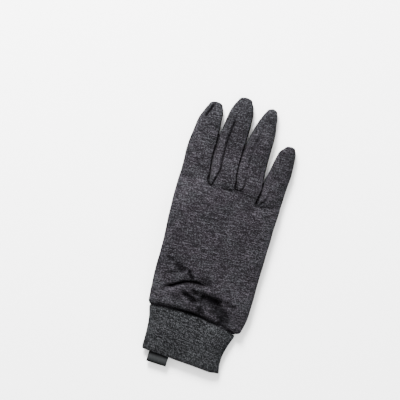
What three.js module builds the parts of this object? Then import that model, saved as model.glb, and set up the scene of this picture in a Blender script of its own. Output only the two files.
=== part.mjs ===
// A thin knitted glove liner for the right hand, lying on its palm with the back of the hand up.
// Millimetres, +Z up, fingers towards +Y, little finger towards +X.
// The thumb is folded flat under the palm.
import * as THREE from 'three';

// Sizes of the hand panel
const palmWidth = 101.6;
const bodyLength = 125.4;
const palmDepth = 12.5;
const fingerDepth = 9.8;
const knitWall = 1.1;
const seamGap = 0.4;
const seamBow = 5; // how far the cuff seam bows towards the fingers

// Sizes of the fingers, each from its crotch line to its tip, and across its widest part
const indexLength = 76;
const indexWidth = 26.6;
const middleLength = 88.2;
const middleWidth = 25.7;
const ringLength = 88.1;
const ringWidth = 25.7;
const littleLength = 62.8;
const littleWidth = 22.8;

// Sizes of the thumb, from the middle of its root to its tip
const thumbLength = 86;
const thumbWidth = 40;
const thumbDepth = 6.6;
const thumbClearance = 0.6;

// Sizes of the cuff and of the loop at its edge
const cuffLength = 40.5;
const cuffWall = 1.6;
const cuffDepth = 8.6;
const loopWidth = 18.4;
const loopReach = 10.6;
const loopTuck = 14;
const loopWeb = 1.0;
const loopDepth = 2.8;
const loopGap = 0.8;

// Steps of the mesh: across one finger, and down one of its sides
const acrossSteps = 6;
const sideSteps = 3;
const ringSize = 8 * acrossSteps + 2 * sideSteps;

// Outline of the hand panel from the cuff seam (first row) to the finger crotches (last row).
// leftAlong, rightAlong: shares of bodyLength. left, right: shares of palmWidth from the midline.
// depth: share of palmDepth.
const palmRows = [
  { leftAlong: 0.011, rightAlong: -0.068, left: -0.443, right: 0.412, depth: 0.66 },
  { leftAlong: 0.03, rightAlong: -0.056, left: -0.456, right: 0.444, depth: 0.78 },
  { leftAlong: 0.068, rightAlong: -0.008, left: -0.461, right: 0.467, depth: 0.88 },
  { leftAlong: 0.121, rightAlong: 0.068, left: -0.465, right: 0.486, depth: 0.94 },
  { leftAlong: 0.16, rightAlong: 0.12, left: -0.466, right: 0.491, depth: 0.98 },
  { leftAlong: 0.197, rightAlong: 0.167, left: -0.467, right: 0.495, depth: 1 },
  { leftAlong: 0.235, rightAlong: 0.213, left: -0.467, right: 0.497, depth: 1 },
  { leftAlong: 0.273, rightAlong: 0.258, left: -0.467, right: 0.499, depth: 1 },
  { leftAlong: 0.31, rightAlong: 0.303, left: -0.467, right: 0.501, depth: 1 },
  { leftAlong: 0.365, rightAlong: 0.365, left: -0.466, right: 0.503, depth: 1 },
  { leftAlong: 0.42, rightAlong: 0.425, left: -0.463, right: 0.506, depth: 1 },
  { leftAlong: 0.475, rightAlong: 0.485, left: -0.462, right: 0.509, depth: 1 },
  { leftAlong: 0.53, rightAlong: 0.54, left: -0.462, right: 0.512, depth: 1 },
  { leftAlong: 0.585, rightAlong: 0.59, left: -0.464, right: 0.514, depth: 1 },
  { leftAlong: 0.645, rightAlong: 0.643, left: -0.465, right: 0.516, depth: 1 },
  { leftAlong: 0.72, rightAlong: 0.7, left: -0.467, right: 0.519, depth: 1 },
  { leftAlong: 0.79, rightAlong: 0.755, left: -0.467, right: 0.522, depth: 1 },
  { leftAlong: 0.864, rightAlong: 0.811, left: -0.467, right: 0.529, depth: 0.98 },
  { leftAlong: 0.955, rightAlong: 0.871, left: -0.464, right: 0.535, depth: 0.93 },
  { leftAlong: 1.03, rightAlong: 0.917, left: -0.461, right: 0.54, depth: 0.87 },
];

// How much of the cuff seam's bow each of the first palm rows has.
const bowFade = [1, 0.95, 0.75, 0.5, 0.3, 0.12];

// Where the fingers part across the palm, as shares of the row,
// and how far each crotch lies past the row's line.
const partings = [
  { across: 0, past: 0 },
  { across: 0.297, past: 0 },
  { across: 0.568, past: 0.038 },
  { across: 0.787, past: -0.015 },
  { across: 1, past: 0 },
];
// How much of the finger shape each of the last palm rows has, the last row first.
const partingFade = [1, 0.5, 0.18];

// Each finger starts at a share of palmWidth across and of bodyLength along, and leans to the right.
// Its rows: along is a share of its length, left and right are shares of its width from its centre line.
const fingers = [
  {
    name: 'index', length: indexLength, width: indexWidth, across: -0.312, from: 1.014, lean: 0.036,
    leftLie: 0.46, rightLie: 0.6,
    corners: { topLeft: 150, topRight: 6, bottomRight: -44, bottomLeft: -150 },
    rows: [
      { along: 0.06, left: -0.566, right: 0.505, depth: 1 },
      { along: 0.15, left: -0.564, right: 0.464, depth: 1 },
      { along: 0.315, left: -0.589, right: 0.41, depth: 1 },
      { along: 0.48, left: -0.579, right: 0.4, depth: 1 },
      { along: 0.63, left: -0.514, right: 0.396, depth: 0.98 },
      { along: 0.755, left: -0.464, right: 0.389, depth: 0.94 },
      { along: 0.855, left: -0.33, right: 0.371, depth: 0.84 },
      { along: 0.93, left: -0.215, right: 0.29, depth: 0.66 },
      { along: 0.98, left: -0.14, right: 0.215, depth: 0.42 },
    ],
  },
  {
    name: 'middle', length: middleLength, width: middleWidth, across: -0.028, from: 1, lean: 0.011,
    leftLie: 0.34, rightLie: 0.6,
    corners: { topLeft: 104, topRight: 6, bottomRight: -44, bottomLeft: -166 },
    rows: [
      { along: 0.06, left: -0.58, right: 0.45, depth: 1 },
      { along: 0.15, left: -0.61, right: 0.355, depth: 1 },
      { along: 0.29, left: -0.65, right: 0.336, depth: 1 },
      { along: 0.43, left: -0.65, right: 0.352, depth: 1 },
      { along: 0.54, left: -0.632, right: 0.387, depth: 1 },
      { along: 0.636, left: -0.583, right: 0.406, depth: 0.98 },
      { along: 0.72, left: -0.545, right: 0.41, depth: 0.95 },
      { along: 0.81, left: -0.486, right: 0.41, depth: 0.88 },
      { along: 0.883, left: -0.403, right: 0.375, depth: 0.76 },
      { along: 0.948, left: -0.302, right: 0.25, depth: 0.56 },
      { along: 0.98, left: -0.245, right: 0.21, depth: 0.38 },
    ],
  },
  {
    name: 'ring', length: ringLength, width: ringWidth, across: 0.218, from: 0.964, lean: 0.04,
    leftLie: 0.34, rightLie: 0.56,
    corners: { topLeft: 104, topRight: 6, bottomRight: -44, bottomLeft: -166 },
    rows: [
      { along: 0.105, left: -0.49, right: 0.395, depth: 1 },
      { along: 0.165, left: -0.59, right: 0.385, depth: 1 },
      { along: 0.266, left: -0.64, right: 0.362, depth: 1 },
      { along: 0.396, left: -0.648, right: 0.348, depth: 1 },
      { along: 0.525, left: -0.618, right: 0.35, depth: 1 },
      { along: 0.655, left: -0.545, right: 0.355, depth: 0.97 },
      { along: 0.752, left: -0.485, right: 0.337, depth: 0.92 },
      { along: 0.838, left: -0.407, right: 0.289, depth: 0.82 },
      { along: 0.903, left: -0.325, right: 0.25, depth: 0.68 },
      { along: 0.957, left: -0.245, right: 0.2, depth: 0.5 },
      { along: 0.988, left: -0.185, right: 0.15, depth: 0.34 },
    ],
  },
  {
    name: 'little', length: littleLength, width: littleWidth, across: 0.434, from: 0.92, lean: 0.108,
    leftLie: 0.34, rightLie: 0.46,
    corners: { topLeft: 104, topRight: 30, bottomRight: -30, bottomLeft: -166 },
    rows: [
      { along: 0.075, left: -0.485, right: 0.4417, depth: 1 },
      { along: 0.15, left: -0.505, right: 0.4375, depth: 1 },
      { along: 0.28, left: -0.548, right: 0.4125, depth: 1 },
      { along: 0.416, left: -0.575, right: 0.4, depth: 1 },
      { along: 0.552, left: -0.533, right: 0.4, depth: 0.98 },
      { along: 0.688, left: -0.5, right: 0.3625, depth: 0.94 },
      { along: 0.794, left: -0.475, right: 0.325, depth: 0.86 },
      { along: 0.885, left: -0.4375, right: 0.27, depth: 0.72 },
      { along: 0.945, left: -0.354, right: 0.2125, depth: 0.54 },
      { along: 0.983, left: -0.183, right: 0.108, depth: 0.36 },
    ],
  },
];

// Folds pressed into the back. across: shares of palmWidth, along: of bodyLength,
// rise and spread: of palmDepth.
const folds = [
  { across: -0.34, along: 0.17, toAcross: -0.15, toAlong: 0.255, rise: -0.15, spread: 0.22 },
  { across: -0.15, along: 0.258, toAcross: 0.03, toAlong: 0.27, rise: -0.12, spread: 0.2 },
  { across: -0.36, along: 0.22, toAcross: -0.13, toAlong: 0.31, rise: 0.13, spread: 0.36 },
  { across: -0.3, along: 0.13, toAcross: -0.06, toAlong: 0.19, rise: 0.12, spread: 0.4 },
  { across: 0.02, along: 0.17, toAcross: 0.2, toAlong: 0.135, rise: -0.18, spread: 0.34 },
  { across: 0.05, along: 0.23, toAcross: 0.34, toAlong: 0.205, rise: 0.1, spread: 0.36 },
  { across: -0.15, along: 0.165, toAcross: -0.03, toAlong: 0.09, rise: -0.12, spread: 0.24 },
  { across: -0.26, along: 0.37, toAcross: -0.11, toAlong: 0.31, rise: -0.08, spread: 0.22 },
];

// Gathers where the cuff draws the panel in: waves across it, their height and how far they run up.
const gathers = { waves: 9, rise: 0.055, reach: 0.07 };

// The thumb's root under the palm: its middle, and the way it points, in degrees from +Y towards +X.
const thumbRoot = { across: -0.393, along: 0.545, turn: 49.2 };
// The opening that the thumb is sewn into: palm rows, and steps in from the index side.
const thumbHole = { fromRow: 8, toRow: 14, steps: 3 };
// Rows of the thumb. along: share of its length. left, right: shares of its width.
const thumbRows = [
  { along: 0.42, left: -0.445, right: 0.425, depth: 1 },
  { along: 0.52, left: -0.425, right: 0.39, depth: 1 },
  { along: 0.64, left: -0.4, right: 0.35, depth: 1 },
  { along: 0.76, left: -0.363, right: 0.313, depth: 0.98 },
  { along: 0.86, left: -0.313, right: 0.275, depth: 0.92 },
  { along: 0.93, left: -0.25, right: 0.213, depth: 0.8 },
  { along: 0.975, left: -0.15, right: 0.125, depth: 0.6 },
];

// Rows of the cuff from the seam to its folded edge.
// left, right: shares of palmWidth. depth: share of cuffDepth.
const cuffRows = [
  { along: 0, left: -0.44, right: 0.409, depth: 0.88 },
  { along: 0.1, left: -0.43, right: 0.39, depth: 0.93 },
  { along: 0.28, left: -0.416, right: 0.366, depth: 0.97 },
  { along: 0.52, left: -0.41, right: 0.35, depth: 1 },
  { along: 0.76, left: -0.411, right: 0.34, depth: 1 },
  { along: 0.93, left: -0.414, right: 0.338, depth: 0.97 },
  { along: 1, left: -0.41, right: 0.333, depth: 0.86 },
];
const cuffSlope = { top: -0.079, edge: -0.062 }; // right end against left end, share of bodyLength
const loopAcross = -0.236; // middle of the loop, share of palmWidth

const roundness = 2.3; // exponent of the sections' upper half, 2 is an ellipse
const flatness = 3.2; // exponent of the lower half, which lies flatter
const palmRoundness = 3.0;
const palmLie = 0.42; // height of the palm's side folds, share of its depth
const sink = 0.3; // how far the rounded lower side would pass below the table, where it is pressed flat
const crotchTop = 0.74; // height of a crotch's upper seam, share of the finger's depth
const crotchBottom = 0.16; // height of its lower seam

const mix = (a, b, t) => a + (b - a) * t;
const clamp01 = (t) => Math.min(1, Math.max(0, t));
const ease = (t) => clamp01(t) ** 2 * (3 - 2 * clamp01(t));
const radians = THREE.MathUtils.degToRad;
// Height of a section's upper or lower side, flat where it rests on the table.
function sideHeight(upward, lie, fullDepth, lift, inset) {
  if (upward) return lie + (fullDepth - lie - inset) * lift;
  return Math.max(inset, lie - (lie + sink - inset) * lift);
}
const bulge = (share, power) => Math.max(0, 1 - Math.abs(2 * share - 1) ** power) ** (1 / power);

// Thumb frame: a point at a distance along the thumb and across it, on the table.
const thumbWay = new THREE.Vector2(Math.sin(radians(thumbRoot.turn)), Math.cos(radians(thumbRoot.turn)));
const thumbStart = new THREE.Vector2(thumbRoot.across * palmWidth, thumbRoot.along * bodyLength);

function onThumb(along, across) {
  return new THREE.Vector2(
    thumbStart.x + thumbWay.x * along + thumbWay.y * across,
    thumbStart.y + thumbWay.y * along - thumbWay.x * across,
  );
}

// How much the thumb underneath lifts the palm at a point: 1 over the thumb, easing to 0 around it.
function thumbCover(x, y, coverEase = 16) {
  const coverMargin = 3;
  const fromStart = new THREE.Vector2(x, y).sub(thumbStart);
  const along = fromStart.dot(thumbWay);
  const across = fromStart.x * thumbWay.y - fromStart.y * thumbWay.x;
  const share = clamp01(along / thumbLength);
  const halfWidth = thumbWidth * mix(0.56, 0.34, share) + coverMargin;
  const pastEnds = Math.max(0, -along - thumbWidth * 0.4, along - thumbLength - coverMargin);
  const outside = Math.hypot(Math.max(0, Math.abs(across) - halfWidth), pastEnds);
  return 1 - ease(outside / coverEase);
}

// Height that the folds add to the back at a point.
function foldRise(x, y) {
  let rise = 0;
  for (const fold of folds) {
    const from = new THREE.Vector2(fold.across * palmWidth, fold.along * bodyLength);
    const to = new THREE.Vector2(fold.toAcross * palmWidth, fold.toAlong * bodyLength);
    const way = to.clone().sub(from);
    const share = clamp01(new THREE.Vector2(x, y).sub(from).dot(way) / way.lengthSq());
    const reach = from.add(way.multiplyScalar(share)).distanceTo(new THREE.Vector2(x, y));
    rise += fold.rise * palmDepth * Math.exp(-((reach / (fold.spread * palmDepth)) ** 2));
  }
  return rise;
}

// How far the cuff seam lies past the straight line between its ends, at a share across.
const bowAt = (share) => seamBow * 4 * share * (1 - share);

// Height that the gathers add at a share across, a distance up from the cuff seam.
function gatherRise(share, fromSeam) {
  const start = 1 - Math.exp(-fromSeam / (0.02 * bodyLength));
  const fade = Math.exp(-fromSeam / (gathers.reach * bodyLength)) * start;
  return gathers.rise * palmDepth * Math.sin(2 * Math.PI * gathers.waves * share) * fade;
}

// A point of the hand panel on a palm row. share runs across the row,
// side is 1 on the back and -1 on the palm.
function palmSection(row, share, side, inset) {
  const last = palmRows.length - 1;
  const { leftAlong, rightAlong, left, right, depth } = palmRows[row];
  const parted = partingFade[last - row] ?? 0;
  const past = partings.reduce((sum, p, i) => {
    const reach = i > 0 && i < 4 ? clamp01(1 - Math.abs(share - p.across) / 0.14) : 0;
    return sum + p.past * ease(reach);
  }, 0);
  const bow = bowAt(share) * (bowFade[row] ?? 0);
  const along = (mix(leftAlong, rightAlong, share) + past * parted) * bodyLength + bow;
  const across = mix(left * palmWidth + inset, right * palmWidth - inset, share);
  const profile = bulge(share, palmRoundness);
  const nearness = partings.slice(1, 4).map((p) => clamp01(1 - Math.abs(share - p.across) / 0.09));
  const groove = Math.max(...nearness);
  const fullDepth = mix(depth * palmDepth, fingerDepth, parted);
  const lie = fullDepth * palmLie;
  let height = sideHeight(side > 0, lie, fullDepth, profile, inset);
  if (side > 0) height = mix(height, fullDepth * crotchTop - inset, parted * ease(groove));
  else height = mix(height, fullDepth * crotchBottom + inset, parted * ease(groove));
  const backShare = clamp01((height - lie) / (fullDepth - lie));
  const liftBelow = thumbCover(across, along) * (thumbDepth + thumbClearance);
  const liftAbove = thumbCover(across, along, 34) * thumbDepth * 0.6;
  height += mix(liftBelow, liftAbove, backShare);
  if (side > 0) {
    const seam = mix(palmRows[0].leftAlong, palmRows[0].rightAlong, share) * bodyLength + bowAt(share);
    const fromSeam = along - seam;
    height += (foldRise(across, along) + gatherRise(share, Math.max(0, fromSeam))) * profile * backShare;
  }
  return new THREE.Vector3(across, along, height);
}

// The shares across a row at the ring's points: each finger's part in equal steps.
const endShare = 0.035;
function shareAt(step) {
  const finger = Math.min(3, Math.floor(step / acrossSteps));
  const share = mix(partings[finger].across, partings[finger + 1].across, step / acrossSteps - finger);
  return mix(endShare, 1 - endShare, share);
}

// A point of a palm row by its place in the ring: over the back, down the right side,
// back under the palm, up the left.
function palmPoint(row, place, inset) {
  const over = 4 * acrossSteps;
  if (place <= over) return palmSection(row, shareAt(place), 1, inset);
  if (place < over + sideSteps) return sidePoint(row, 1 - endShare, (place - over) / sideSteps, inset);
  const under = 2 * over + sideSteps - place;
  if (under >= 0) return palmSection(row, shareAt(under), -1, inset);
  return sidePoint(row, endShare, 1 + under / sideSteps, inset);
}

// A point round the side fold of a palm row, from its upper end (down = 0) to its lower end (down = 1).
function sidePoint(row, share, down, inset) {
  const upper = palmSection(row, share, 1, inset);
  const lower = palmSection(row, share, -1, inset);
  const edge = palmSection(row, share > 0.5 ? 1 : 0, 1, inset);
  const turn = Math.PI * down;
  const point = upper.clone().lerp(lower, (1 - Math.cos(turn)) / 2);
  point.x = mix(point.x, edge.x, Math.min(1, Math.sin(turn) / Math.sin(Math.PI / sideSteps)));
  return point;
}

// A point of a finger's section at an angle: 180 is its left side, 90 its back,
// 0 its right side, -90 its palm side.
function fingerSection(finger, row, degrees, inset) {
  const { along, left, right, depth } = row;
  const fullDepth = depth * fingerDepth;
  const angle = radians(degrees);
  const root = new THREE.Vector2(finger.across * palmWidth, finger.from * bodyLength);
  const middle = root.x + finger.lean * finger.length * along;
  const half = ((right - left) / 2) * finger.width - inset;
  const centre = middle + ((left + right) / 2) * finger.width;
  const upward = Math.sin(angle) > 0;
  const power = upward ? roundness : flatness;
  const across = Math.sign(Math.cos(angle)) * Math.abs(Math.cos(angle)) ** (2 / power);
  const lift = Math.abs(Math.sin(angle)) ** (2 / power);
  const lie = mix(finger.leftLie, finger.rightLie, (across + 1) / 2) * fullDepth;
  const tipLift = (1 - depth) * fingerDepth * 0.28;
  const cover = thumbCover(centre + half * across, root.y) * (thumbDepth + thumbClearance);
  const rootLift = cover * 0.8 * ease(1 - along / 0.5);
  const height = sideHeight(upward, lie, fullDepth, lift, inset) + tipLift + rootLift;
  return new THREE.Vector3(centre + half * across, root.y + finger.length * along, height);
}

// A knitted sheet: outer and inner points under shared names, and faces named by their outer corners.
class Sheet {
  constructor() {
    this.points = new Map();
    this.faces = [];
  }

  point(name, outer, inner) {
    if (!this.points.has(name)) this.points.set(name, { outer: outer.clone(), inner: inner.clone() });
  }

  face(...names) {
    this.faces.push(names);
  }

  // Draws the sheet's open edges back by half the seam gap, so that it keeps clear of its neighbours.
  trimEdges(distance) {
    const moves = new Map();
    for (const [a, b] of this.openEdges()) {
      const owner = this.faces.find((f) => f.includes(a) && f.includes(b));
      const centre = new THREE.Vector3();
      owner.forEach((n) => centre.add(this.points.get(n).outer));
      centre.multiplyScalar(1 / owner.length);
      const p = this.points.get(a).outer;
      const along = this.points.get(b).outer.clone().sub(p).normalize();
      const inward = centre.clone().sub(p);
      inward.addScaledVector(along, -inward.dot(along)).normalize();
      for (const n of [a, b]) {
        if (!moves.has(n)) moves.set(n, new THREE.Vector3());
        moves.get(n).add(inward);
      }
    }
    for (const [n, move] of moves) {
      // At a crotch the two seams pull apart sideways, and the sheet draws back down the hand instead.
      if (move.length() < 0.8) move.set(0, -2.5, 0);
      else move.normalize();
      const reach = move.multiplyScalar(distance);
      const { outer } = this.points.get(n);
      outer.add(reach);
      outer.z = Math.max(0, outer.z);
      this.points.get(n).inner.addScaledVector(reach, 1.5);
    }
  }

  openEdges() {
    const seen = new Map();
    for (const f of this.faces) {
      f.forEach((n, i) => {
        const m = f[(i + 1) % f.length];
        const key = [n, m].sort().join('|');
        seen.set(key, seen.has(key) ? null : [n, m]);
      });
    }
    return [...seen.values()].filter(Boolean);
  }

  geometry() {
    const order = new Map([...this.points.keys()].map((name, i) => [name, i]));
    const count = order.size;
    const position = new Float32Array(count * 6);
    for (const [name, i] of order) {
      this.points.get(name).outer.toArray(position, i * 3);
      this.points.get(name).inner.toArray(position, (count + i) * 3);
    }
    const index = [];
    const triangle = (a, b, c) => {
      if (a !== b && b !== c && a !== c) index.push(a, b, c);
    };
    for (const f of this.faces) {
      const v = f.map((name) => order.get(name));
      for (let i = 1; i + 1 < v.length; i++) {
        triangle(v[0], v[i], v[i + 1]);
        triangle(count + v[0], count + v[i + 1], count + v[i]);
      }
    }
    for (const [a, b] of this.openEdges()) {
      const [i, j] = [order.get(a), order.get(b)];
      // Both sheets of a seam split this strip along the same line, so their edges stay parallel.
      if (a < b) {
        triangle(j, i, count + i);
        triangle(j, count + i, count + j);
      } else {
        triangle(j, i, count + j);
        triangle(i, count + i, count + j);
      }
    }
    const geometry = new THREE.BufferGeometry();
    geometry.setAttribute('position', new THREE.BufferAttribute(position, 3));
    geometry.setIndex(index);
    geometry.computeVertexNormals();
    return geometry;
  }
}

// Names of the hand's points. Fingers share their root ring with the palm
// and their crotch lines with each other.
const lastRow = palmRows.length - 1;
const overSteps = 4 * acrossSteps;
const palmName = (row, place) => `palm ${row} ${(place + ringSize) % ringSize}`;
const fingerRing = 2 * (acrossSteps + sideSteps);

// The name of a finger's root point at a place in the finger's own ring,
// from its upper left corner clockwise.
function rootName(number, place) {
  const [right, bottom, left] = [acrossSteps, acrossSteps + sideSteps, 2 * acrossSteps + sideSteps];
  const p = (place + fingerRing) % fingerRing;
  if (p <= right) return palmName(lastRow, number * acrossSteps + p);
  if (p < bottom && number === 3) return palmName(lastRow, overSteps + p - right);
  if (p < bottom) return `crotch ${number} ${p - right}`;
  const underStart = overSteps + sideSteps + (3 - number) * acrossSteps;
  if (p <= left) return palmName(lastRow, underStart + p - bottom);
  const up = p - left;
  if (number === 0) return palmName(lastRow, 2 * overSteps + sideSteps + up);
  return `crotch ${number - 1} ${sideSteps - up}`;
}

function ringName(number, row, place) {
  if (row === 0) return rootName(number, place);
  return `finger ${number} ${row} ${(place + fingerRing) % fingerRing}`;
}

// The angle of a finger ring's place, between the four corners where its seams run.
function ringAngle(number, row, place) {
  const { corners, rows } = fingers[number];
  const nearRoot = 1 - clamp01(rows[row].along / 0.2);
  const topLeft = corners.topLeft;
  const topRight = corners.topRight + (number < 3 ? 44 * nearRoot : 0);
  const { bottomRight, bottomLeft } = corners;
  const [right, bottom, left] = [acrossSteps, acrossSteps + sideSteps, 2 * acrossSteps + sideSteps];
  if (place <= right) return mix(topLeft, topRight, place / acrossSteps);
  if (place <= bottom) return mix(topRight, bottomRight, (place - right) / sideSteps);
  if (place <= left) return mix(bottomRight, bottomLeft, (place - bottom) / acrossSteps);
  return mix(bottomLeft, topLeft - 360, (place - left) / sideSteps);
}

// All points of the hand, outer and inner, by name.
function handPoints() {
  const points = new Map();
  const add = (name, outer, inner) => points.set(name, { outer, inner });
  palmRows.forEach((_, row) => {
    for (let place = 0; place < ringSize; place++) {
      add(palmName(row, place), palmPoint(row, place, 0), palmPoint(row, place, knitWall));
    }
  });
  for (let number = 0; number < 3; number++) {
    const upper = points.get(palmName(lastRow, (number + 1) * acrossSteps));
    const lower = points.get(palmName(lastRow, overSteps + sideSteps + (3 - number) * acrossSteps));
    const dip = new THREE.Vector3(0, -knitWall, 0);
    for (let step = 1; step < sideSteps; step++) {
      const sag = new THREE.Vector3(0, -1.2 * Math.sin((Math.PI * step) / sideSteps), 0);
      const outer = upper.outer.clone().lerp(lower.outer, step / sideSteps).add(sag);
      add(`crotch ${number} ${step}`, outer, outer.clone().add(dip));
    }
    for (const corner of [upper, lower]) corner.inner.y -= knitWall * 0.9;
  }
  fingers.forEach((finger, number) => {
    finger.rows.forEach((row, i) => {
      for (let place = 0; place < fingerRing; place++) {
        const angle = ringAngle(number, i, place);
        const outer = fingerSection(finger, row, angle, 0);
        const inset = Math.min(knitWall, row.depth * fingerDepth * 0.22);
        const inner = fingerSection(finger, row, angle, inset);
        if (i === finger.rows.length - 1) inner.y -= inset;
        add(ringName(number, i + 1, place), outer, inner);
      }
    });
    capGrid(number, (a, b, name) => {
      if (points.has(name)) return;
      const ring = finger.rows.length;
      const corner = (place) => points.get(ringName(number, ring, place));
      const over = corner(a);
      const under = corner(2 * acrossSteps + sideSteps - a);
      const share = b / sideSteps;
      const round = Math.sin(Math.PI * share) * Math.sin((Math.PI * a) / acrossSteps);
      const swell = round * finger.length * 0.014;
      const outer = over.outer.clone().lerp(under.outer, share);
      const inner = over.inner.clone().lerp(under.inner, share);
      outer.y += swell;
      inner.y += swell;
      add(name, outer, inner);
    });
  });
  return points;
}

// Walks the grid that closes a fingertip: a runs across it, b from the back to the palm side.
function capGrid(number, visit) {
  const ring = fingers[number].rows.length;
  for (let a = 0; a <= acrossSteps; a++) {
    for (let b = 0; b <= sideSteps; b++) visit(a, b, capName(number, ring, a, b));
  }
}

function capName(number, ring, a, b) {
  if (b === 0) return ringName(number, ring, a);
  if (b === sideSteps) return ringName(number, ring, 2 * acrossSteps + sideSteps - a);
  if (a === 0) return ringName(number, ring, fingerRing - b);
  if (a === acrossSteps) return ringName(number, ring, acrossSteps + b);
  return `tip ${number} ${a} ${b}`;
}

// Whether a face of a palm row lies in the opening for the thumb.
function inThumbHole(row, place) {
  const leftCorner = 2 * overSteps + sideSteps;
  const inRows = row >= thumbHole.fromRow && row < thumbHole.toRow;
  return inRows && place >= leftCorner - thumbHole.steps && place < leftCorner;
}

// Which strip of a finger a place belongs to: its right or left fourchette, or the hand panel.
function stripOf(number, row, place) {
  const [right, bottom, left] = [acrossSteps, acrossSteps + sideSteps, 2 * acrossSteps + sideSteps];
  if (row >= fingers[number].rows.length - 1) return 'panel';
  if (number < 3 && place >= right && place < bottom) return `fourchette ${number}`;
  if (number > 0 && place >= left) return `fourchette ${number - 1}`;
  return 'panel';
}

function handSheets() {
  const points = handPoints();
  const sheetNames = ['panel', 'fourchette 0', 'fourchette 1', 'fourchette 2'];
  const sheets = Object.fromEntries(sheetNames.map((name) => [name, new Sheet()]));
  const add = (sheet, ...names) => {
    for (const name of names) sheets[sheet].point(name, points.get(name).outer, points.get(name).inner);
    sheets[sheet].face(...names);
  };
  for (let row = 0; row < lastRow; row++) {
    for (let place = 0; place < ringSize; place++) {
      if (inThumbHole(row, place)) continue;
      const lower = [palmName(row, place), palmName(row, place + 1)];
      add('panel', ...lower, palmName(row + 1, place + 1), palmName(row + 1, place));
    }
  }
  fingers.forEach((finger, number) => {
    for (let row = 0; row < finger.rows.length; row++) {
      for (let place = 0; place < fingerRing; place++) {
        add(
          stripOf(number, row, place),
          ringName(number, row, place), ringName(number, row, place + 1),
          ringName(number, row + 1, place + 1), ringName(number, row + 1, place),
        );
      }
    }
    const ring = finger.rows.length;
    for (let a = 0; a < acrossSteps; a++) {
      for (let b = 0; b < sideSteps; b++) {
        add(
          'panel',
          capName(number, ring, a, b), capName(number, ring, a + 1, b),
          capName(number, ring, a + 1, b + 1), capName(number, ring, a, b + 1),
        );
      }
    }
  });
  return { points, sheets };
}

// The thumb: from the opening in the palm it folds down and over, and lies flat under the palm.
function thumbSheet(points) {
  const sheet = new Sheet();
  const leftCorner = 2 * overSteps + sideSteps;
  const hole = [];
  const { fromRow, toRow, steps } = thumbHole;
  for (let s = 0; s < steps; s++) hole.push([toRow, leftCorner - s]);
  for (let r = toRow; r > fromRow; r--) hole.push([r, leftCorner - steps]);
  const upperCount = hole.length;
  for (let s = steps; s > 0; s--) hole.push([fromRow, leftCorner - s]);
  for (let r = fromRow; r < toRow; r++) hole.push([r, leftCorner]);
  const count = hole.length;
  const edge = hole.map(([r, p]) => points.get(palmName(r, p)));
  const centre = edge.reduce((sum, e) => sum.add(e.outer), new THREE.Vector3()).multiplyScalar(1 / count);
  const name = (ring, i) => `thumb ${ring} ${(i + count) % count}`;

  // Angle round the thumb: 180 at its left side, 0 at its right side, over the top and back underneath.
  const angleOf = (i) => {
    if (i <= upperCount) return 180 - (180 * i) / upperCount;
    return (-180 * (i - upperCount)) / (count - upperCount);
  };
  const section = (row, i, inset) => {
    const angle = radians(angleOf(i));
    const half = ((row.right - row.left) / 2) * thumbWidth - inset;
    const middle = ((row.left + row.right) / 2) * thumbWidth;
    const upward = Math.sin(angle) > 1e-9;
    const power = upward ? roundness : flatness;
    const across = Math.sign(Math.cos(angle)) * Math.abs(Math.cos(angle)) ** (2 / power);
    const lift = Math.abs(Math.sin(angle)) ** (2 / power);
    const fullDepth = row.depth * thumbDepth;
    const lie = fullDepth * 0.45;
    const height = sideHeight(upward, lie, fullDepth, lift, inset);
    const spot = onThumb(row.along * thumbLength, middle + half * across);
    return new THREE.Vector3(spot.x, spot.y, height + (1 - row.depth) * thumbDepth * 0.2);
  };

  // First the edge of the opening, then the turn under the palm, then the rows of the thumb.
  const turnSteps = [
    { reach: 0.012, fall: 0.12 },
    { reach: 0.06, fall: 0.3 },
    { reach: 0.22, fall: 0.75 },
    { reach: 0.5, fall: 0.97 },
  ];
  const rings = [edge.map((e) => ({ outer: e.outer.clone(), inner: e.inner.clone() }))];
  for (const { reach, fall } of turnSteps) {
    rings.push(edge.map((e, i) => {
      const upper = i > 0 && i < upperCount;
      const target = section(thumbRows[0], i, 0);
      const side = Math.abs(Math.cos(radians(angleOf(i)))) ** 6;
      const outer = e.outer.clone().lerp(target, reach);
      const upperHeight = mix(e.outer.z, target.z, Math.min(1, fall * 4));
      const lowerHeight = mix(e.outer.z, target.z, fall);
      outer.z = mix(upper ? upperHeight : lowerHeight, lowerHeight, side);
      return { outer };
    }));
  }
  for (const row of thumbRows) {
    const inset = knitWall * 0.95;
    rings.push(edge.map((_, i) => ({ outer: section(row, i, 0), inner: section(row, i, inset) })));
  }
  // Inner points of the turn: straight in from the sheet, by the slope of its neighbours.
  for (let r = 1; r <= turnSteps.length; r++) {
    for (let i = 0; i < count; i++) {
      const before = rings[r][(i + count - 1) % count].outer;
      const after = rings[r][(i + 1) % count].outer;
      const round = after.clone().sub(before);
      const along = rings[r + 1][i].outer.clone().sub(rings[r - 1][i].outer);
      const inward = round.cross(along).normalize();
      rings[r][i].inner = rings[r][i].outer.clone().addScaledVector(inward, -knitWall * 0.9);
    }
  }
  rings.forEach((ring, r) => ring.forEach((p, i) => sheet.point(name(r, i), p.outer, p.inner)));
  for (let r = 0; r + 1 < rings.length; r++) {
    for (let i = 0; i < count; i++) {
      sheet.face(name(r, i), name(r, i + 1), name(r + 1, i + 1), name(r + 1, i));
    }
  }
  const end = rings.length - 1;
  const tip = onThumb(thumbLength, 0);
  const tipHeight = thumbDepth * 0.4;
  sheet.point(
    'tip',
    new THREE.Vector3(tip.x, tip.y, tipHeight),
    new THREE.Vector3(tip.x - thumbWay.x * knitWall, tip.y - thumbWay.y * knitWall, tipHeight),
  );
  for (let i = 0; i < count; i++) sheet.face(name(end, i), name(end, i + 1), 'tip');
  return { sheet, centre };
}

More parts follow.
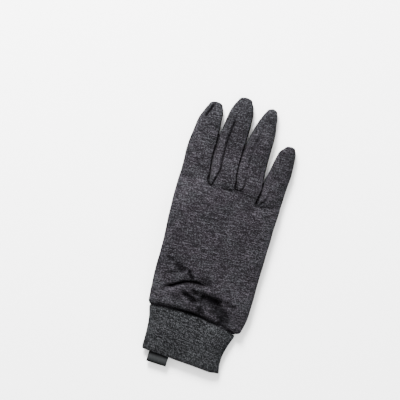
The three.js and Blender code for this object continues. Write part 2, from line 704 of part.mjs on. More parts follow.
// The cuff: a band that starts just below the hand panel's edge.
function cuffSheet() {
  const sheet = new Sheet();
  const steps = 26;
  const count = 2 * steps;
  const start = palmRows[0];
  const name = (ring, i) => `cuff ${ring} ${(i + count) % count}`;
  const section = (row, i, inset) => {
    const angle = Math.PI - (2 * Math.PI * i) / count;
    const power = palmRoundness;
    const across = Math.sign(Math.cos(angle)) * Math.abs(Math.cos(angle)) ** (2 / power);
    const lift = Math.abs(Math.sin(angle)) ** (2 / power);
    const share = (across + 1) / 2;
    const fullDepth = row.depth * cuffDepth;
    const lie = fullDepth * palmLie;
    const x = mix(row.left * palmWidth + inset, row.right * palmWidth - inset, share);
    const slope = mix(cuffSlope.top, cuffSlope.edge, row.along) * bodyLength * (share - 0.5);
    const bow = bowAt(share) * (1 - row.along) ** 2;
    const seam = mix(start.leftAlong, start.rightAlong, 0.5) * bodyLength - seamGap;
    const height = sideHeight(Math.sin(angle) > 0, lie, fullDepth, lift, inset);
    return new THREE.Vector3(x, seam + slope + bow - row.along * cuffLength, height);
  };
  cuffRows.forEach((row, r) => {
    for (let i = 0; i < count; i++) sheet.point(name(r, i), section(row, i, 0), section(row, i, cuffWall));
  });
  for (let r = 0; r + 1 < cuffRows.length; r++) {
    for (let i = 0; i < count; i++) {
      sheet.face(name(r + 1, i), name(r + 1, i + 1), name(r, i + 1), name(r, i));
    }
  }
  return sheet;
}

// The loop: a ribbon folded over, whose ends are held inside the cuff's edge against its lower wall.
function loopGeometry() {
  const half = loopDepth / 2;
  const bend = new THREE.Shape();
  const inner = half - loopWeb;
  bend.moveTo(loopTuck, half);
  bend.lineTo(-loopReach + half, half);
  bend.absarc(-loopReach + half, 0, half, Math.PI / 2, (3 * Math.PI) / 2, false);
  bend.lineTo(loopTuck, -half);
  bend.lineTo(loopTuck, -inner);
  bend.lineTo(-loopReach + half, -inner);
  bend.absarc(-loopReach + half, 0, inner, (3 * Math.PI) / 2, Math.PI / 2, true);
  bend.lineTo(loopTuck, inner);
  bend.closePath();
  const settings = { depth: loopWidth, bevelEnabled: false, curveSegments: 8 };
  const geometry = new THREE.ExtrudeGeometry(bend, settings);
  // The profile's first axis runs up the glove, its second is height, and the ribbon's width is across.
  const turn = new THREE.Matrix4().makeBasis(
    new THREE.Vector3(0, 1, 0), new THREE.Vector3(0, 0, 1), new THREE.Vector3(1, 0, 0),
  );
  return geometry.applyMatrix4(turn);
}

const charcoalKnit = new THREE.MeshStandardMaterial({ color: 0x3f3d40, roughness: 0.95, metalness: 0 });
const ribKnit = new THREE.MeshStandardMaterial({ color: 0x424446, roughness: 0.95, metalness: 0 });
const webbing = new THREE.MeshStandardMaterial({ color: 0x2b2e30, roughness: 0.7, metalness: 0 });

function meshOf(name, geometry, material) {
  const mesh = new THREE.Mesh(geometry, material);
  mesh.name = name;
  return mesh;
}

const glove = new THREE.Group();
const { points, sheets } = handSheets();
const thumb = thumbSheet(points).sheet;
const cuff = cuffSheet();
for (const sheet of [...Object.values(sheets), thumb]) sheet.trimEdges(seamGap * 0.6);

glove.add(meshOf('hand_panel', sheets.panel.geometry(), charcoalKnit));
glove.add(meshOf('fourchette_index_middle', sheets['fourchette 0'].geometry(), charcoalKnit));
glove.add(meshOf('fourchette_middle_ring', sheets['fourchette 1'].geometry(), charcoalKnit));
glove.add(meshOf('fourchette_ring_little', sheets['fourchette 2'].geometry(), charcoalKnit));
glove.add(meshOf('thumb', thumb.geometry(), charcoalKnit));
glove.add(meshOf('cuff', cuff.geometry(), ribKnit));

// The loop lies inside the cuff's edge, just above the cuff's lower wall.
const loop = meshOf('pull_loop', loopGeometry(), webbing);
const loopLeft = loopAcross * palmWidth - loopWidth / 2;
const loopShare = (loopAcross - cuffRows.at(-1).left) / (cuffRows.at(-1).right - cuffRows.at(-1).left);
const seamAlong = mix(palmRows[0].leftAlong, palmRows[0].rightAlong, 0.5) * bodyLength;
const edgeMiddle = seamAlong - seamGap - cuffLength;
const edgeAlong = edgeMiddle + cuffSlope.edge * bodyLength * (loopShare - 0.5);
loop.position.set(loopLeft, edgeAlong, cuffWall + loopGap + loopDepth / 2);
glove.add(loop);

// Everything is drawn about the palm's midline and the cuff seam;
// the origin goes under the middle of the whole.
const extent = new THREE.Box3().setFromObject(glove);
const middle = extent.getCenter(new THREE.Vector3());
glove.position.set(-middle.x, -middle.y, -extent.min.z);

export default glove;
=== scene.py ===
import math
import bpy
import bmesh
import numpy as np
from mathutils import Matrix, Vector, bvhtree, kdtree, noise


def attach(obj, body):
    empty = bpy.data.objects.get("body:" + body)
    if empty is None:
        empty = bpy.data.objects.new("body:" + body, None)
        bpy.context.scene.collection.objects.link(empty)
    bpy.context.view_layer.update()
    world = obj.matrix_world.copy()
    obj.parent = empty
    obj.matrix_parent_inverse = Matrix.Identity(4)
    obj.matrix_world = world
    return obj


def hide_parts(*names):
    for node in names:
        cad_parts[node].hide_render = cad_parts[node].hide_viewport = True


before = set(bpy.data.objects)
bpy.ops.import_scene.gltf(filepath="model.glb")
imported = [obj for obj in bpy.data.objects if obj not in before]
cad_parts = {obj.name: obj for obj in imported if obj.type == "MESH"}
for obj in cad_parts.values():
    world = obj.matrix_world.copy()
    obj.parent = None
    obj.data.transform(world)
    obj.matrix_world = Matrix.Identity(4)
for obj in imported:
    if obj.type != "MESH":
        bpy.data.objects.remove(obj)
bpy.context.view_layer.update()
bpy.ops.object.select_all(action="DESELECT")
millimetre = 0.001
# the shapes below are worked out in millimetres about the palm's midline at the cuff seam
seamMiddle = Vector((-4.742, -79.949, 0.0))

camera = {"above": 2.2, "aim": (-0.0265, 0.0287), "turn": 13.85, "viewWidth": 0.380, "aimHeight": 0.010}


def placeCamera():
    bpy.ops.object.camera_add(location=(camera["aim"][0], camera["aim"][1], camera["above"]))
    cam = bpy.context.object
    cam.name = "camera"
    cam.rotation_euler = (0, 0, math.radians(camera["turn"]))
    cam.data.type = "PERSP"
    cam.data.sensor_width = 36
    cam.data.lens = 36 * (camera["above"] - camera["aimHeight"]) / camera["viewWidth"]
    cam.data.clip_end = 20
    bpy.context.scene.camera = cam


studio = {"floorTone": 0.95, "skyTone": 1.45}


def placeStudio():
    bpy.ops.mesh.primitive_plane_add(size=6, location=(0, 0, -0.0006))
    floor = bpy.context.object
    floor.name = "floor"
    paint = bpy.data.materials.new("floorPaper")
    paint.use_nodes = True
    shader = paint.node_tree.nodes["Principled BSDF"]
    tone = studio["floorTone"]
    shader.inputs["Base Color"].default_value = (tone, tone, tone, 1)
    shader.inputs["Roughness"].default_value = 0.9
    floor.data.materials.append(paint)
    # each softbox: place, size, watts
    softboxes = [
        ("softboxTop", (-0.6, 1.2, 0.9), 0.6, 190),
        ("softboxSide", (-1.2, 0.3, 0.9), 0.6, 12),
        ("softboxFill", (0.9, -0.6, 1.2), 1.2, 16),
    ]
    for name, place, size, watts in softboxes:
        bpy.ops.object.light_add(type="AREA", location=place)
        lamp = bpy.context.object
        lamp.name = name
        lamp.data.size = size
        lamp.data.energy = watts
        lamp.rotation_euler = (Vector((0, 0, 0)) - Vector(place)).to_track_quat("-Z", "Y").to_euler()
    world = bpy.data.worlds.new("sky")
    world.use_nodes = True
    sky = world.node_tree.nodes["Background"]
    sky.inputs[0].default_value = (1, 1, 1, 1)
    sky.inputs[1].default_value = studio["skyTone"]
    bpy.context.scene.world = world


placeCamera()
placeStudio()
print("camera, light and floor stand")


# the glove's sizes, in millimetres
hand = {
    "palmWidth": 101.6, "bodyLength": 125.4, "palmDepth": 12.5, "fingerDepth": 9.8,
    "fold": 0.42,  # height of the palm's side folds, share of its depth
    "endShare": 0.035, "sink": 0.3, "round": 2.3, "flat": 3.2, "palmRound": 3.0,
    "crotchTop": 0.74, "crotchBottom": 0.16, "crotchDip": 3.2, "crotchRound": 7, "seamBow": 5, "gather": 0.6,
    "tipSteps": (18, 34, 48, 60, 70, 78), "tipReach": 0.3, "tipWall": 0.24, "tipSwell": 0.12,
}
# the strips between the fingers: how many degrees their corners turn at the crotches, and over which share of
# the finger; how many points from its ends a seam fades in over, and from finger to finger changes over
strips = {"rightTurn": 44, "rightReach": 0.12, "leftTurn": 27, "leftReach": 0.2,
          "seamFade": 14, "seamChange": 12}
# leftAlong, rightAlong (of bodyLength), left, right (of palmWidth), depth (of palmDepth), finger shape,
# share of the cuff seam's bow
palmRows = [
    (0.011, -0.068, -0.443, 0.412, 0.66, 0, 1), (0.03, -0.056, -0.456, 0.444, 0.78, 0, 0.95),
    (0.068, -0.008, -0.461, 0.467, 0.88, 0, 0.75), (0.121, 0.068, -0.465, 0.486, 0.94, 0, 0.5),
    (0.16, 0.12, -0.466, 0.491, 0.98, 0, 0.3), (0.197, 0.167, -0.467, 0.495, 1, 0, 0.12),
    (0.235, 0.213, -0.467, 0.497, 1, 0, 0), (0.273, 0.258, -0.467, 0.499, 1, 0, 0),
    (0.31, 0.303, -0.467, 0.501, 1, 0, 0), (0.365, 0.365, -0.466, 0.503, 1, 0, 0),
    (0.42, 0.425, -0.463, 0.506, 1, 0, 0), (0.475, 0.485, -0.462, 0.509, 1, 0, 0),
    (0.53, 0.54, -0.462, 0.512, 1, 0, 0), (0.585, 0.59, -0.464, 0.514, 1, 0, 0),
    (0.645, 0.643, -0.465, 0.516, 1, 0, 0), (0.72, 0.7, -0.467, 0.519, 1, 0, 0),
    (0.79, 0.755, -0.467, 0.522, 1, 0, 0), (0.864, 0.811, -0.467, 0.529, 0.98, 0.18, 0),
    (0.955, 0.871, -0.464, 0.535, 0.93, 0.5, 0), (1.03, 0.917, -0.461, 0.54, 0.87, 1, 0),
]
# where the fingers part: share across, how far the crotch lies past the row's line
partings = [(0, 0), (0.297, 0), (0.568, 0.038), (0.787, -0.015), (1, 0)]

# rows of a finger: along (of its length), left, right (of its width), depth (of fingerDepth)
fingers = [
    {
        "name": "index", "length": 76, "width": 26.6, "across": -0.312, "start": 1.014, "lean": 0.036,
        "lie": (0.46, 0.6), "corners": (150, 6, -44, -150),
        "rows": [
            (0, -0.568, 0.53, 1), (0.06, -0.566, 0.505, 1), (0.15, -0.564, 0.464, 1),
            (0.315, -0.589, 0.41, 1), (0.48, -0.579, 0.414, 1), (0.63, -0.514, 0.408, 0.98),
            (0.755, -0.464, 0.392, 0.94), (0.855, -0.37, 0.376, 0.84), (0.915, -0.3, 0.33, 0.68),
            (0.955, -0.235, 0.275, 0.52),
        ],
    },
    {
        "name": "middle", "length": 88.2, "width": 25.7, "across": -0.028, "start": 1.0, "lean": 0.011,
        "seam": 0.95, "lie": (0.34, 0.6), "corners": (104, 6, -44, -166),
        "rows": [
            (0, -0.56, 0.5, 1), (0.06, -0.58, 0.45, 1), (0.15, -0.61, 0.355, 1), (0.29, -0.655, 0.345, 1),
            (0.43, -0.668, 0.37, 1), (0.54, -0.655, 0.396, 1), (0.636, -0.593, 0.406, 0.98),
            (0.72, -0.545, 0.41, 0.95), (0.81, -0.486, 0.406, 0.88), (0.875, -0.412, 0.375, 0.77),
            (0.925, -0.335, 0.328, 0.64), (0.958, -0.27, 0.27, 0.5),
        ],
    },
    {
        "name": "ring", "length": 88.1, "width": 25.7, "across": 0.218, "start": 0.964, "lean": 0.04,
        "seam": 0.6, "lie": (0.34, 0.56), "corners": (104, 6, -44, -166),
        "rows": [
            (0.035, -0.4, 0.41, 1), (0.105, -0.5, 0.415, 1), (0.165, -0.6, 0.4, 1),
            (0.266, -0.665, 0.37, 1), (0.396, -0.68, 0.348, 1), (0.525, -0.65, 0.35, 1),
            (0.655, -0.56, 0.355, 0.97), (0.752, -0.485, 0.337, 0.92), (0.838, -0.407, 0.289, 0.82),
            (0.9, -0.33, 0.262, 0.7), (0.94, -0.27, 0.227, 0.56), (0.968, -0.213, 0.19, 0.44),
        ],
    },
    {
        "name": "little", "length": 62.8, "width": 22.8, "across": 0.434, "start": 0.92, "lean": 0.108,
        "seam": 0.5, "lie": (0.34, 0.46), "corners": (104, 30, -30, -166),
        "rows": [
            (0.02, -0.5, 0.445, 1), (0.075, -0.54, 0.4417, 1), (0.15, -0.57, 0.4375, 1),
            (0.28, -0.595, 0.4125, 1), (0.416, -0.585, 0.4, 1), (0.552, -0.533, 0.4, 0.98),
            (0.688, -0.5, 0.3625, 0.94), (0.794, -0.475, 0.325, 0.86), (0.88, -0.43, 0.285, 0.74),
            (0.93, -0.352, 0.243, 0.6), (0.962, -0.268, 0.192, 0.48),
        ],
    },
]

thumb = {
    "length": 86, "width": 40, "depth": 6.6, "clearance": 0.6, "across": -0.393, "along": 0.545, "turn": 49.2,
    "holeRows": (8, 14), "holeShare": 0.5,  # palm rows it is sewn between, share of the index's width
    # along (of length), left, right (of width), depth
    "rows": [
        (0.42, -0.445, 0.425, 1), (0.52, -0.425, 0.39, 1), (0.64, -0.4, 0.35, 1),
        (0.76, -0.363, 0.313, 0.98), (0.86, -0.313, 0.275, 0.92), (0.93, -0.25, 0.213, 0.8),
        (0.975, -0.15, 0.125, 0.6),
    ],
    # reach towards the first row, fall towards the table, and their places in mm along the turn
    "turnSteps": [(0.012, 0.12), (0.06, 0.3), (0.22, 0.75), (0.5, 0.97)], "turnRows": (0, 3, 7, 12, 22, 36),
    "fold": 0.45, "wallShare": 0.8, "tipShares": (0.5, 0.8), "tipBulge": 0.012,
}

# folds pressed into the back: points as shares (across palmWidth, along bodyLength), depth and width in mm,
# soft: width on the side towards the wrist, softUp: towards the fingers,
# lip: raised beside it towards the wrist, shade: how much shade is painted into the fold's colour
backFolds = [
    {"points": [(-0.355, 0.166), (-0.28, 0.186), (-0.187, 0.23), (-0.121, 0.247), (-0.047, 0.248),
                (0.047, 0.238)],
     "depth": 3.8, "width": 1.1, "softUp": 1.4, "lip": 1.9, "lipWidth": 9, "shade": 0.95},
    {"points": [(-0.165, 0.325), (-0.125, 0.292), (-0.09, 0.265)],
     "depth": 2.0, "width": 1.3, "lip": 0.5, "lipWidth": 3, "shade": 0.8},
    {"points": [(-0.4, 0.4), (-0.31, 0.366)],
     "depth": 1.3, "width": 2.4, "lip": 0.6, "lipWidth": 4, "shade": 0.4},
    {"points": [(-0.3, 0.355), (-0.26, 0.345), (-0.22, 0.33), (-0.18, 0.312)],
     "depth": 2.2, "width": 2.6, "lip": 0.5, "lipWidth": 4, "shade": 0.8},
    {"points": [(-0.36, 0.262), (-0.28, 0.288), (-0.2, 0.3)],
     "depth": 1.0, "width": 2.2, "lip": 0.9, "lipWidth": 4.5, "shade": 0.35},
    {"points": [(-0.05, 0.275), (0.03, 0.27), (0.1, 0.25)],
     "depth": 1.0, "width": 3.6, "lip": 0.2, "lipWidth": 5, "shade": 0.45},
    {"points": [(-0.01, 0.17), (0.07, 0.158), (0.14, 0.146), (0.23, 0.142)],
     "depth": 5.0, "width": 2.8, "softUp": 3.0, "soft": 6.4, "lip": 0.0, "lipWidth": 6, "shade": 0.8},
    {"points": [(0.15, 0.13), (0.21, 0.085), (0.26, 0.04), (0.3, -0.03)],
     "depth": 3.0, "width": 5.5, "lip": 0.6, "lipWidth": 5, "shade": 0.75},
    {"points": [(-0.175, 0.158), (-0.12, 0.146), (-0.07, 0.122), (0.0, 0.1)],
     "depth": 2.6, "width": 1.8, "soft": 2.4, "lip": 1.3, "lipWidth": 4.5, "shade": 0.75},
    {"points": [(-0.09, 0.198), (-0.055, 0.182), (-0.025, 0.158)],
     "depth": 1.8, "width": 1.6, "lip": 0.5, "lipWidth": 3, "shade": 0.65},
    {"points": [(0.015, 0.085), (0.035, 0.055), (0.055, 0.02)],
     "depth": 2.2, "width": 3.0, "lip": 0.4, "lipWidth": 4, "shade": 0.8},
    {"points": [(0.075, 0.11), (0.11, 0.075), (0.13, 0.025)],
     "depth": -1.1, "width": 2.6, "lip": 0, "lipWidth": 3, "shade": 0},
    {"points": [(0.24, 0.15), (0.36, 0.117)],
     "depth": 1.2, "width": 2.5, "lip": 0.3, "lipWidth": 4, "shade": 0.3},
    {"points": [(0.0, 0.43), (0.1, 0.432)],
     "depth": 0.6, "width": 1.8, "lip": 0.2, "lipWidth": 3, "shade": 0.15},
    {"points": [(-0.05, 1.01), (0, 0.995), (0.03, 0.975), (0.075, 0.985)],
     "depth": 0.7, "width": 1.7, "lip": 0.4, "lipWidth": 4, "shade": 0.28},
    {"points": [(0.2, 0.912), (0.25, 0.888), (0.31, 0.877)],
     "depth": 1.1, "width": 2.2, "lip": 0.5, "lipWidth": 4, "shade": 0.4},
    {"points": [(-0.26, 0.99), (-0.21, 0.98), (-0.17, 0.985)],
     "depth": 0.6, "width": 2.2, "lip": 0.2, "lipWidth": 3, "shade": 0.15},
]
# the seam that shows at the index finger's tip, pressed in as a fold with painted shade
tipFolds = [
    {"points": [(-0.29, 1.606), (-0.315, 1.57), (-0.334, 1.53), (-0.348, 1.49)],
     "depth": 1.1, "width": 0.65, "lip": 0.7, "lipWidth": 2.2, "shade": 1.0},
]
# broad places of the back with faint painted shade, where less light falls: share across, share along, reach in
# mm, how much shade is painted
paintedShadePlaces = [
    (0.25, 1.3, 24, 0.26), (0.43, 1.17, 20, 0.28), (0.0, 0.86, 26, 0.24), (-0.33, 0.6, 26, 0.22),
    (0.1, 0.1, 16, 0.15), (-0.05, 1.3, 18, 0.12), (-0.03, 1.62, 13, 0.3), (0.25, 1.54, 13, 0.32),
    (0.47, 1.36, 13, 0.34),
]
# folds of the palm side, where the thumb lies on it; each paints the default share of shade into the colour
palmFolds = [
    {"points": [(-0.38, 0.25), (-0.25, 0.27), (-0.1, 0.33)],
     "depth": 1.2, "width": 2.4, "lip": 0.7, "lipWidth": 5},
    {"points": [(-0.3, 0.14), (-0.1, 0.17), (0.1, 0.13)],
     "depth": 1.0, "width": 2.2, "lip": 0.5, "lipWidth": 5},
    {"points": [(0.1, 0.4), (0.26, 0.48), (0.42, 0.5)],
     "depth": 1.0, "width": 2.6, "lip": 0.6, "lipWidth": 5},
    {"points": [(-0.1, 0.02), (-0.08, 0.12)],
     "depth": 0.8, "width": 1.4, "lip": 0.3, "lipWidth": 3},
    {"points": [(0.22, 0.0), (0.2, 0.1)],
     "depth": 0.8, "width": 1.4, "lip": 0.3, "lipWidth": 3},
]


def mix(a, b, t):
    return a + (b - a) * t


def clamp01(t):
    return min(1.0, max(0.0, t))


def ease(t):
    t = clamp01(t)
    return t * t * (3 - 2 * t)


def signedPower(value, power):
    return math.copysign(abs(value) ** power, value)


def smoothRow(rows, t):
    i = min(int(t), len(rows) - 2)
    f = t - i
    before, start, end, after = (rows[max(0, i - 1)], rows[i], rows[i + 1], rows[min(len(rows) - 1, i + 2)])
    return [
        0.5 * (2 * b + (c - a) * f + (2 * a - 5 * b + 4 * c - d) * f * f + (3 * b - a - 3 * c + d) * f ** 3)
        for a, b, c, d in zip(before, start, end, after)
    ]


thumbWay = Vector((math.sin(math.radians(thumb["turn"])), math.cos(math.radians(thumb["turn"]))))
thumbStart = Vector((thumb["across"] * hand["palmWidth"], thumb["along"] * hand["bodyLength"]))


def thumbCover(x, y, easeWidth=16):
    fromX, fromY = x - thumbStart.x, y - thumbStart.y
    along = fromX * thumbWay.x + fromY * thumbWay.y
    across = fromX * thumbWay.y - fromY * thumbWay.x
    halfWidth = thumb["width"] * mix(0.56, 0.34, clamp01(along / thumb["length"])) + 3
    pastEnds = max(0, -along - thumb["width"] * 0.4, along - thumb["length"] - 3)
    return 1 - ease(math.hypot(max(0, abs(across) - halfWidth), pastEnds) / easeWidth)


def sideHeight(upward, lie, fullDepth, lift, inset):
    if upward:
        return lie + (fullDepth - lie - inset) * lift
    return max(inset, lie - (lie + hand["sink"] - inset) * lift)


def seamBow(share):
    return hand["seamBow"] * 4 * share * (1 - share)


def seamLine(x):
    # where the cuff seam runs at places x across the hand
    first = palmRows[0]
    share = np.clip((x / hand["palmWidth"] - first[2]) / (first[3] - first[2]), 0, 1)
    return mix(first[0], first[1], share) * hand["bodyLength"] + seamBow(share)


def palmSection(t, share, upward, inset):
    leftAlong, rightAlong, left, right, depth, parted, bow = smoothRow(palmRows, t)
    past = sum(p * ease(clamp01(1 - abs(share - s) / 0.14)) for s, p in partings[1:4])
    along = (mix(leftAlong, rightAlong, share) + past * parted) * hand["bodyLength"] + seamBow(share) * bow
    across = mix(left * hand["palmWidth"] + inset, right * hand["palmWidth"] - inset, share)
    power = hand["palmRound"]
    profile = max(0, 1 - abs(2 * share - 1) ** power) ** (1 / power)
    groove = max(clamp01(1 - abs(share - s) / 0.09) for s, _ in partings[1:4])
    fullDepth = mix(depth * hand["palmDepth"], hand["fingerDepth"], parted)
    lie = fullDepth * hand["fold"]
    height = sideHeight(upward, lie, fullDepth, profile, inset)
    crotch = fullDepth * hand["crotchTop"] - inset if upward else fullDepth * hand["crotchBottom"] + inset
    height = mix(height, crotch, parted * ease(groove))
    backShare = clamp01((height - lie) / (fullDepth - lie))
    liftBelow = thumbCover(across, along) * (thumb["depth"] + thumb["clearance"])
    liftAbove = thumbCover(across, along, 34) * thumb["depth"] * 0.45
    return Vector((across, along, height + mix(liftBelow, liftAbove, backShare)))


def fingerSection(finger, row, degrees, inset):
    along, left, right, depth = row
    depth = min(depth, 1)
    fullDepth = depth * hand["fingerDepth"]
    angle = math.radians(degrees)
    rootX, rootY = finger["across"] * hand["palmWidth"], finger["start"] * hand["bodyLength"]
    half = (right - left) / 2 * finger["width"] - inset
    centre = rootX + finger["lean"] * finger["length"] * along + (left + right) / 2 * finger["width"]
    upward = math.sin(angle) > 0
    power = hand["round"] if upward else hand["flat"]
    across = signedPower(math.cos(angle), 2 / power)
    lift = abs(math.sin(angle)) ** (2 / power)
    lie = mix(*finger["lie"], (across + 1) / 2) * fullDepth
    cover = thumbCover(centre + half * across, rootY) * (thumb["depth"] + thumb["clearance"])
    height = sideHeight(upward, lie, fullDepth, lift, inset)
    height += (1 - depth) * hand["fingerDepth"] * 0.28 + cover * 0.8 * ease(1 - along / 0.5)
    return Vector((centre + half * across, rootY + finger["length"] * along, height))


def thumbSection(row, degrees, inset):
    along, left, right, depth = row
    depth = min(depth, 1)
    angle = math.radians(degrees)
    half = (right - left) / 2 * thumb["width"] - inset
    upward = math.sin(angle) > 1e-9
    power = hand["round"] if upward else hand["flat"]
    across = signedPower(math.cos(angle), 2 / power)
    fullDepth = depth * thumb["depth"]
    lift = abs(math.sin(angle)) ** (2 / power)
    height = sideHeight(upward, fullDepth * thumb["fold"], fullDepth, lift, inset)
    reach = along * thumb["length"]
    aside = (left + right) / 2 * thumb["width"] + half * across
    return Vector((
        thumbStart.x + thumbWay.x * reach + thumbWay.y * aside,
        thumbStart.y + thumbWay.y * reach - thumbWay.x * aside,
        height + (1 - depth) * thumb["depth"] * 0.2,
    ))


def fineRows(places, step):
    # row numbers, with as many between two rows as their distance asks for
    rows = [0.0]
    for i in range(len(places) - 1):
        count = max(1, round(abs(places[i + 1] - places[i]) / step))
        rows += [i + (k + 1) / count for k in range(count)]
    return rows


class Skin:
    # one side of the knitted wall: named points, faces with their knit coordinates, and sewn lines
    def __init__(self):
        self.index, self.points, self.faces, self.uvs, self.seams = {}, [], [], [], []

    def point(self, key, place):
        # a point that is there already stays where it is
        if key not in self.index:
            self.index[key] = len(self.points)
            self.points.append(place)

    def at(self, key):
        return self.points[self.index[key]]

    def band(self, lower, upper, lowerUv, upperUv, skip=()):
        for i in range(len(lower) - 1):
            if i in skip:
                continue
            face = [self.index[k] for k in (lower[i], lower[i + 1], upper[i + 1], upper[i])]
            uv = [lowerUv[i], lowerUv[i + 1], upperUv[i + 1], upperUv[i]]
            kept = [j for j in range(4) if face[j] not in face[:j]]
            if len(kept) > 2:
                self.faces.append([face[j] for j in kept])
                self.uvs.append([uv[j] for j in kept])

    def unroll(self, keys, along=None):
        # knit coordinates of a ring: distance round it, from its first point's place across
        run, spots = self.at(keys[0]).x, []
        for i, key in enumerate(keys):
            if i:
                run += (self.at(key) - self.at(keys[i - 1])).length
            spots.append((run, along if along is not None else self.at(key).y))
        return spots

    def wrap(self, lower, upper, split, skip=()):
        # a band round the ring, whose knit coordinates run both ways from its first point
        for start, end, back in ((0, split, False), (split, len(lower) - 1, True)):
            uv = []
            for keys in (lower, upper):
                spots = self.unroll(keys)
                girth = spots[-1][0] - spots[0][0] if back else 0
                uv.append([(u - girth, v) for u, v in spots[start:end + 1]])
            self.band(lower[start:end + 1], upper[start:end + 1], uv[0], uv[1], {i - start for i in skip})


class HandSkin(Skin):
    # a tube of knit round the palm, which parts into the fingers and sends out the thumb
    def __init__(self, acrossSteps, sideSteps, rowStep, inset):
        super().__init__()
        self.acrossSteps, self.sideSteps, self.rowStep, self.inset = acrossSteps, sideSteps, rowStep, inset
        # places round the body: over the back, down the right side, under the palm, up the left side
        self.over = 4 * acrossSteps
        self.underFrom = self.over + sideSteps
        self.underTo = self.underFrom + self.over
        self.ringSize = self.underTo + sideSteps
        # places where a finger's right side, underside and left side start
        self.right, self.bottom = acrossSteps, acrossSteps + sideSteps
        self.left = self.bottom + acrossSteps
        self.fingerRing = self.left + sideSteps
        # three steps down a side miss its outermost place, so they are drawn out to it
        self.sideReach = 1 / math.sin(math.pi / 3) if sideSteps == 3 else 1
        self.layBody()
        self.layCrotches()
        self.seamRows = [self.layFinger(number) for number in range(len(fingers))]
        self.sewStrips()
        self.layThumb()
        self.wrist = [self.palmKey(0, place) for place in range(self.ringSize)]

    def palmKey(self, row, place):
        return ("palm", row, place % self.ringSize)

    def shareAt(self, step):
        # share across the hand of a step over its back
        number = min(3, int(step // self.acrossSteps))
        share = mix(partings[number][0], partings[number + 1][0], step / self.acrossSteps - number)
        return mix(hand["endShare"], 1 - hand["endShare"], share)

    def sidePoint(self, t, share, down):
        upper, lower = palmSection(t, share, True, self.inset), palmSection(t, share, False, self.inset)
        edge = palmSection(t, 1 if share > 0.5 else 0, True, self.inset)
        spot = upper.lerp(lower, (1 - math.cos(math.pi * down)) / 2)
        spot.x = mix(spot.x, edge.x, min(1, math.sin(math.pi * down) * self.sideReach))
        return spot

    def palmPoint(self, t, place):
        if place <= self.over:
            return palmSection(t, self.shareAt(place), True, self.inset)
        if place < self.underFrom:
            return self.sidePoint(t, 1 - hand["endShare"], (place - self.over) / self.sideSteps)
        if place <= self.underTo:
            return palmSection(t, self.shareAt(self.underTo - place), False, self.inset)
        return self.sidePoint(t, hand["endShare"], 1 - (place - self.underTo) / self.sideSteps)

    def layBody(self):
        middleAlong = [(a + b) / 2 * hand["bodyLength"] for a, b, *_ in palmRows]
        rows = fineRows(middleAlong, self.rowStep)
        self.last = len(rows) - 1
        for row, t in enumerate(rows):
            for place in range(self.ringSize):
                self.point(self.palmKey(row, place), self.palmPoint(t, place))
        # the opening for the thumb
        self.holeFrom, self.holeTo = (rows.index(float(r)) for r in thumb["holeRows"])
        self.holeSteps = round(self.acrossSteps * thumb["holeShare"])
        hole = set(range(self.underTo - self.holeSteps, self.underTo))
        for row in range(self.last):
            keys = [[self.palmKey(r, p) for p in range(self.ringSize + 1)] for r in (row, row + 1)]
            skip = hole if self.holeFrom <= row < self.holeTo else ()
            self.wrap(keys[0], keys[1], self.underFrom + self.over // 2, skip)

    def layCrotches(self):
        # lines from the back to the palm between the fingers
        for number in range(3):
            upper = self.at(self.palmKey(self.last, (number + 1) * self.acrossSteps))
            lower = self.at(self.palmKey(self.last, self.underFrom + (3 - number) * self.acrossSteps))
            for step in range(1, self.sideSteps):
                spot = upper.lerp(lower, step / self.sideSteps)
                dip = math.sin(math.pi * 0.5 * step / self.sideSteps) ** 1.3
                spot.y += hand["crotchDip"] * dip - self.inset
                self.point(("crotch", number, step), spot)

    def rootKey(self, number, place):
        # a point of the body's last row or of a crotch line, where a finger starts
        place %= self.fingerRing
        if place <= self.right:
            return self.palmKey(self.last, number * self.acrossSteps + place)
        if place < self.bottom:
            if number == 3:
                return self.palmKey(self.last, self.over + place - self.right)
            return ("crotch", number, place - self.right)
        if place <= self.left:
            start = self.underFrom + (3 - number) * self.acrossSteps
            return self.palmKey(self.last, start + place - self.bottom)
        if number == 0:
            return self.palmKey(self.last, self.underTo + place - self.left)
        return ("crotch", number - 1, self.sideSteps - (place - self.left))

    def fingerKey(self, number, row, place):
        if row == 0:
            return self.rootKey(number, place)
        return (fingers[number]["name"], row, place % self.fingerRing)

    def gathered(self, share):
        # the outer skin's mesh lines lie closer beside the seams
        if self.inset > 0:
            return share
        return share - hand["gather"] * math.sin(2 * math.pi * share) / (2 * math.pi)

    def ringAngle(self, number, along, place):
        topLeft, topRight, bottomRight, bottomLeft = fingers[number]["corners"]
        if number < 3:
            topRight += strips["rightTurn"] * (1 - clamp01(along / strips["rightReach"]))
        if number > 0:
            topLeft += strips["leftTurn"] * (1 - ease(along / strips["leftReach"]))
        corners = (topLeft, topRight, bottomRight, bottomLeft, topLeft - 360)
        starts = (0, self.right, self.bottom, self.left, self.fingerRing)
        side = next(i for i in range(4) if place <= starts[i + 1])
        share = (place - starts[side]) / (starts[side + 1] - starts[side])
        return mix(corners[side], corners[side + 1], self.gathered(share))

    def fingerRows(self, finger):
        # its rows, then the shrinking ones that round off the tip
        steps = fineRows([r[0] * finger["length"] for r in finger["rows"]], self.rowStep)
        rows = [smoothRow(finger["rows"], t) for t in steps]
        endAlong, endLeft, endRight, endDepth = finger["rows"][-1]
        reach, middle = 1 - endAlong + hand["tipReach"] / finger["length"], (endLeft + endRight) / 2
        for degrees in hand["tipSteps"]:
            small = math.cos(math.radians(degrees))
            rows.append([endAlong + reach * math.sin(math.radians(degrees)), mix(middle, endLeft, small),
                         mix(middle, endRight, small), endDepth * small ** 0.7])
        return rows, len(steps) - 1

    def layFinger(self, number):
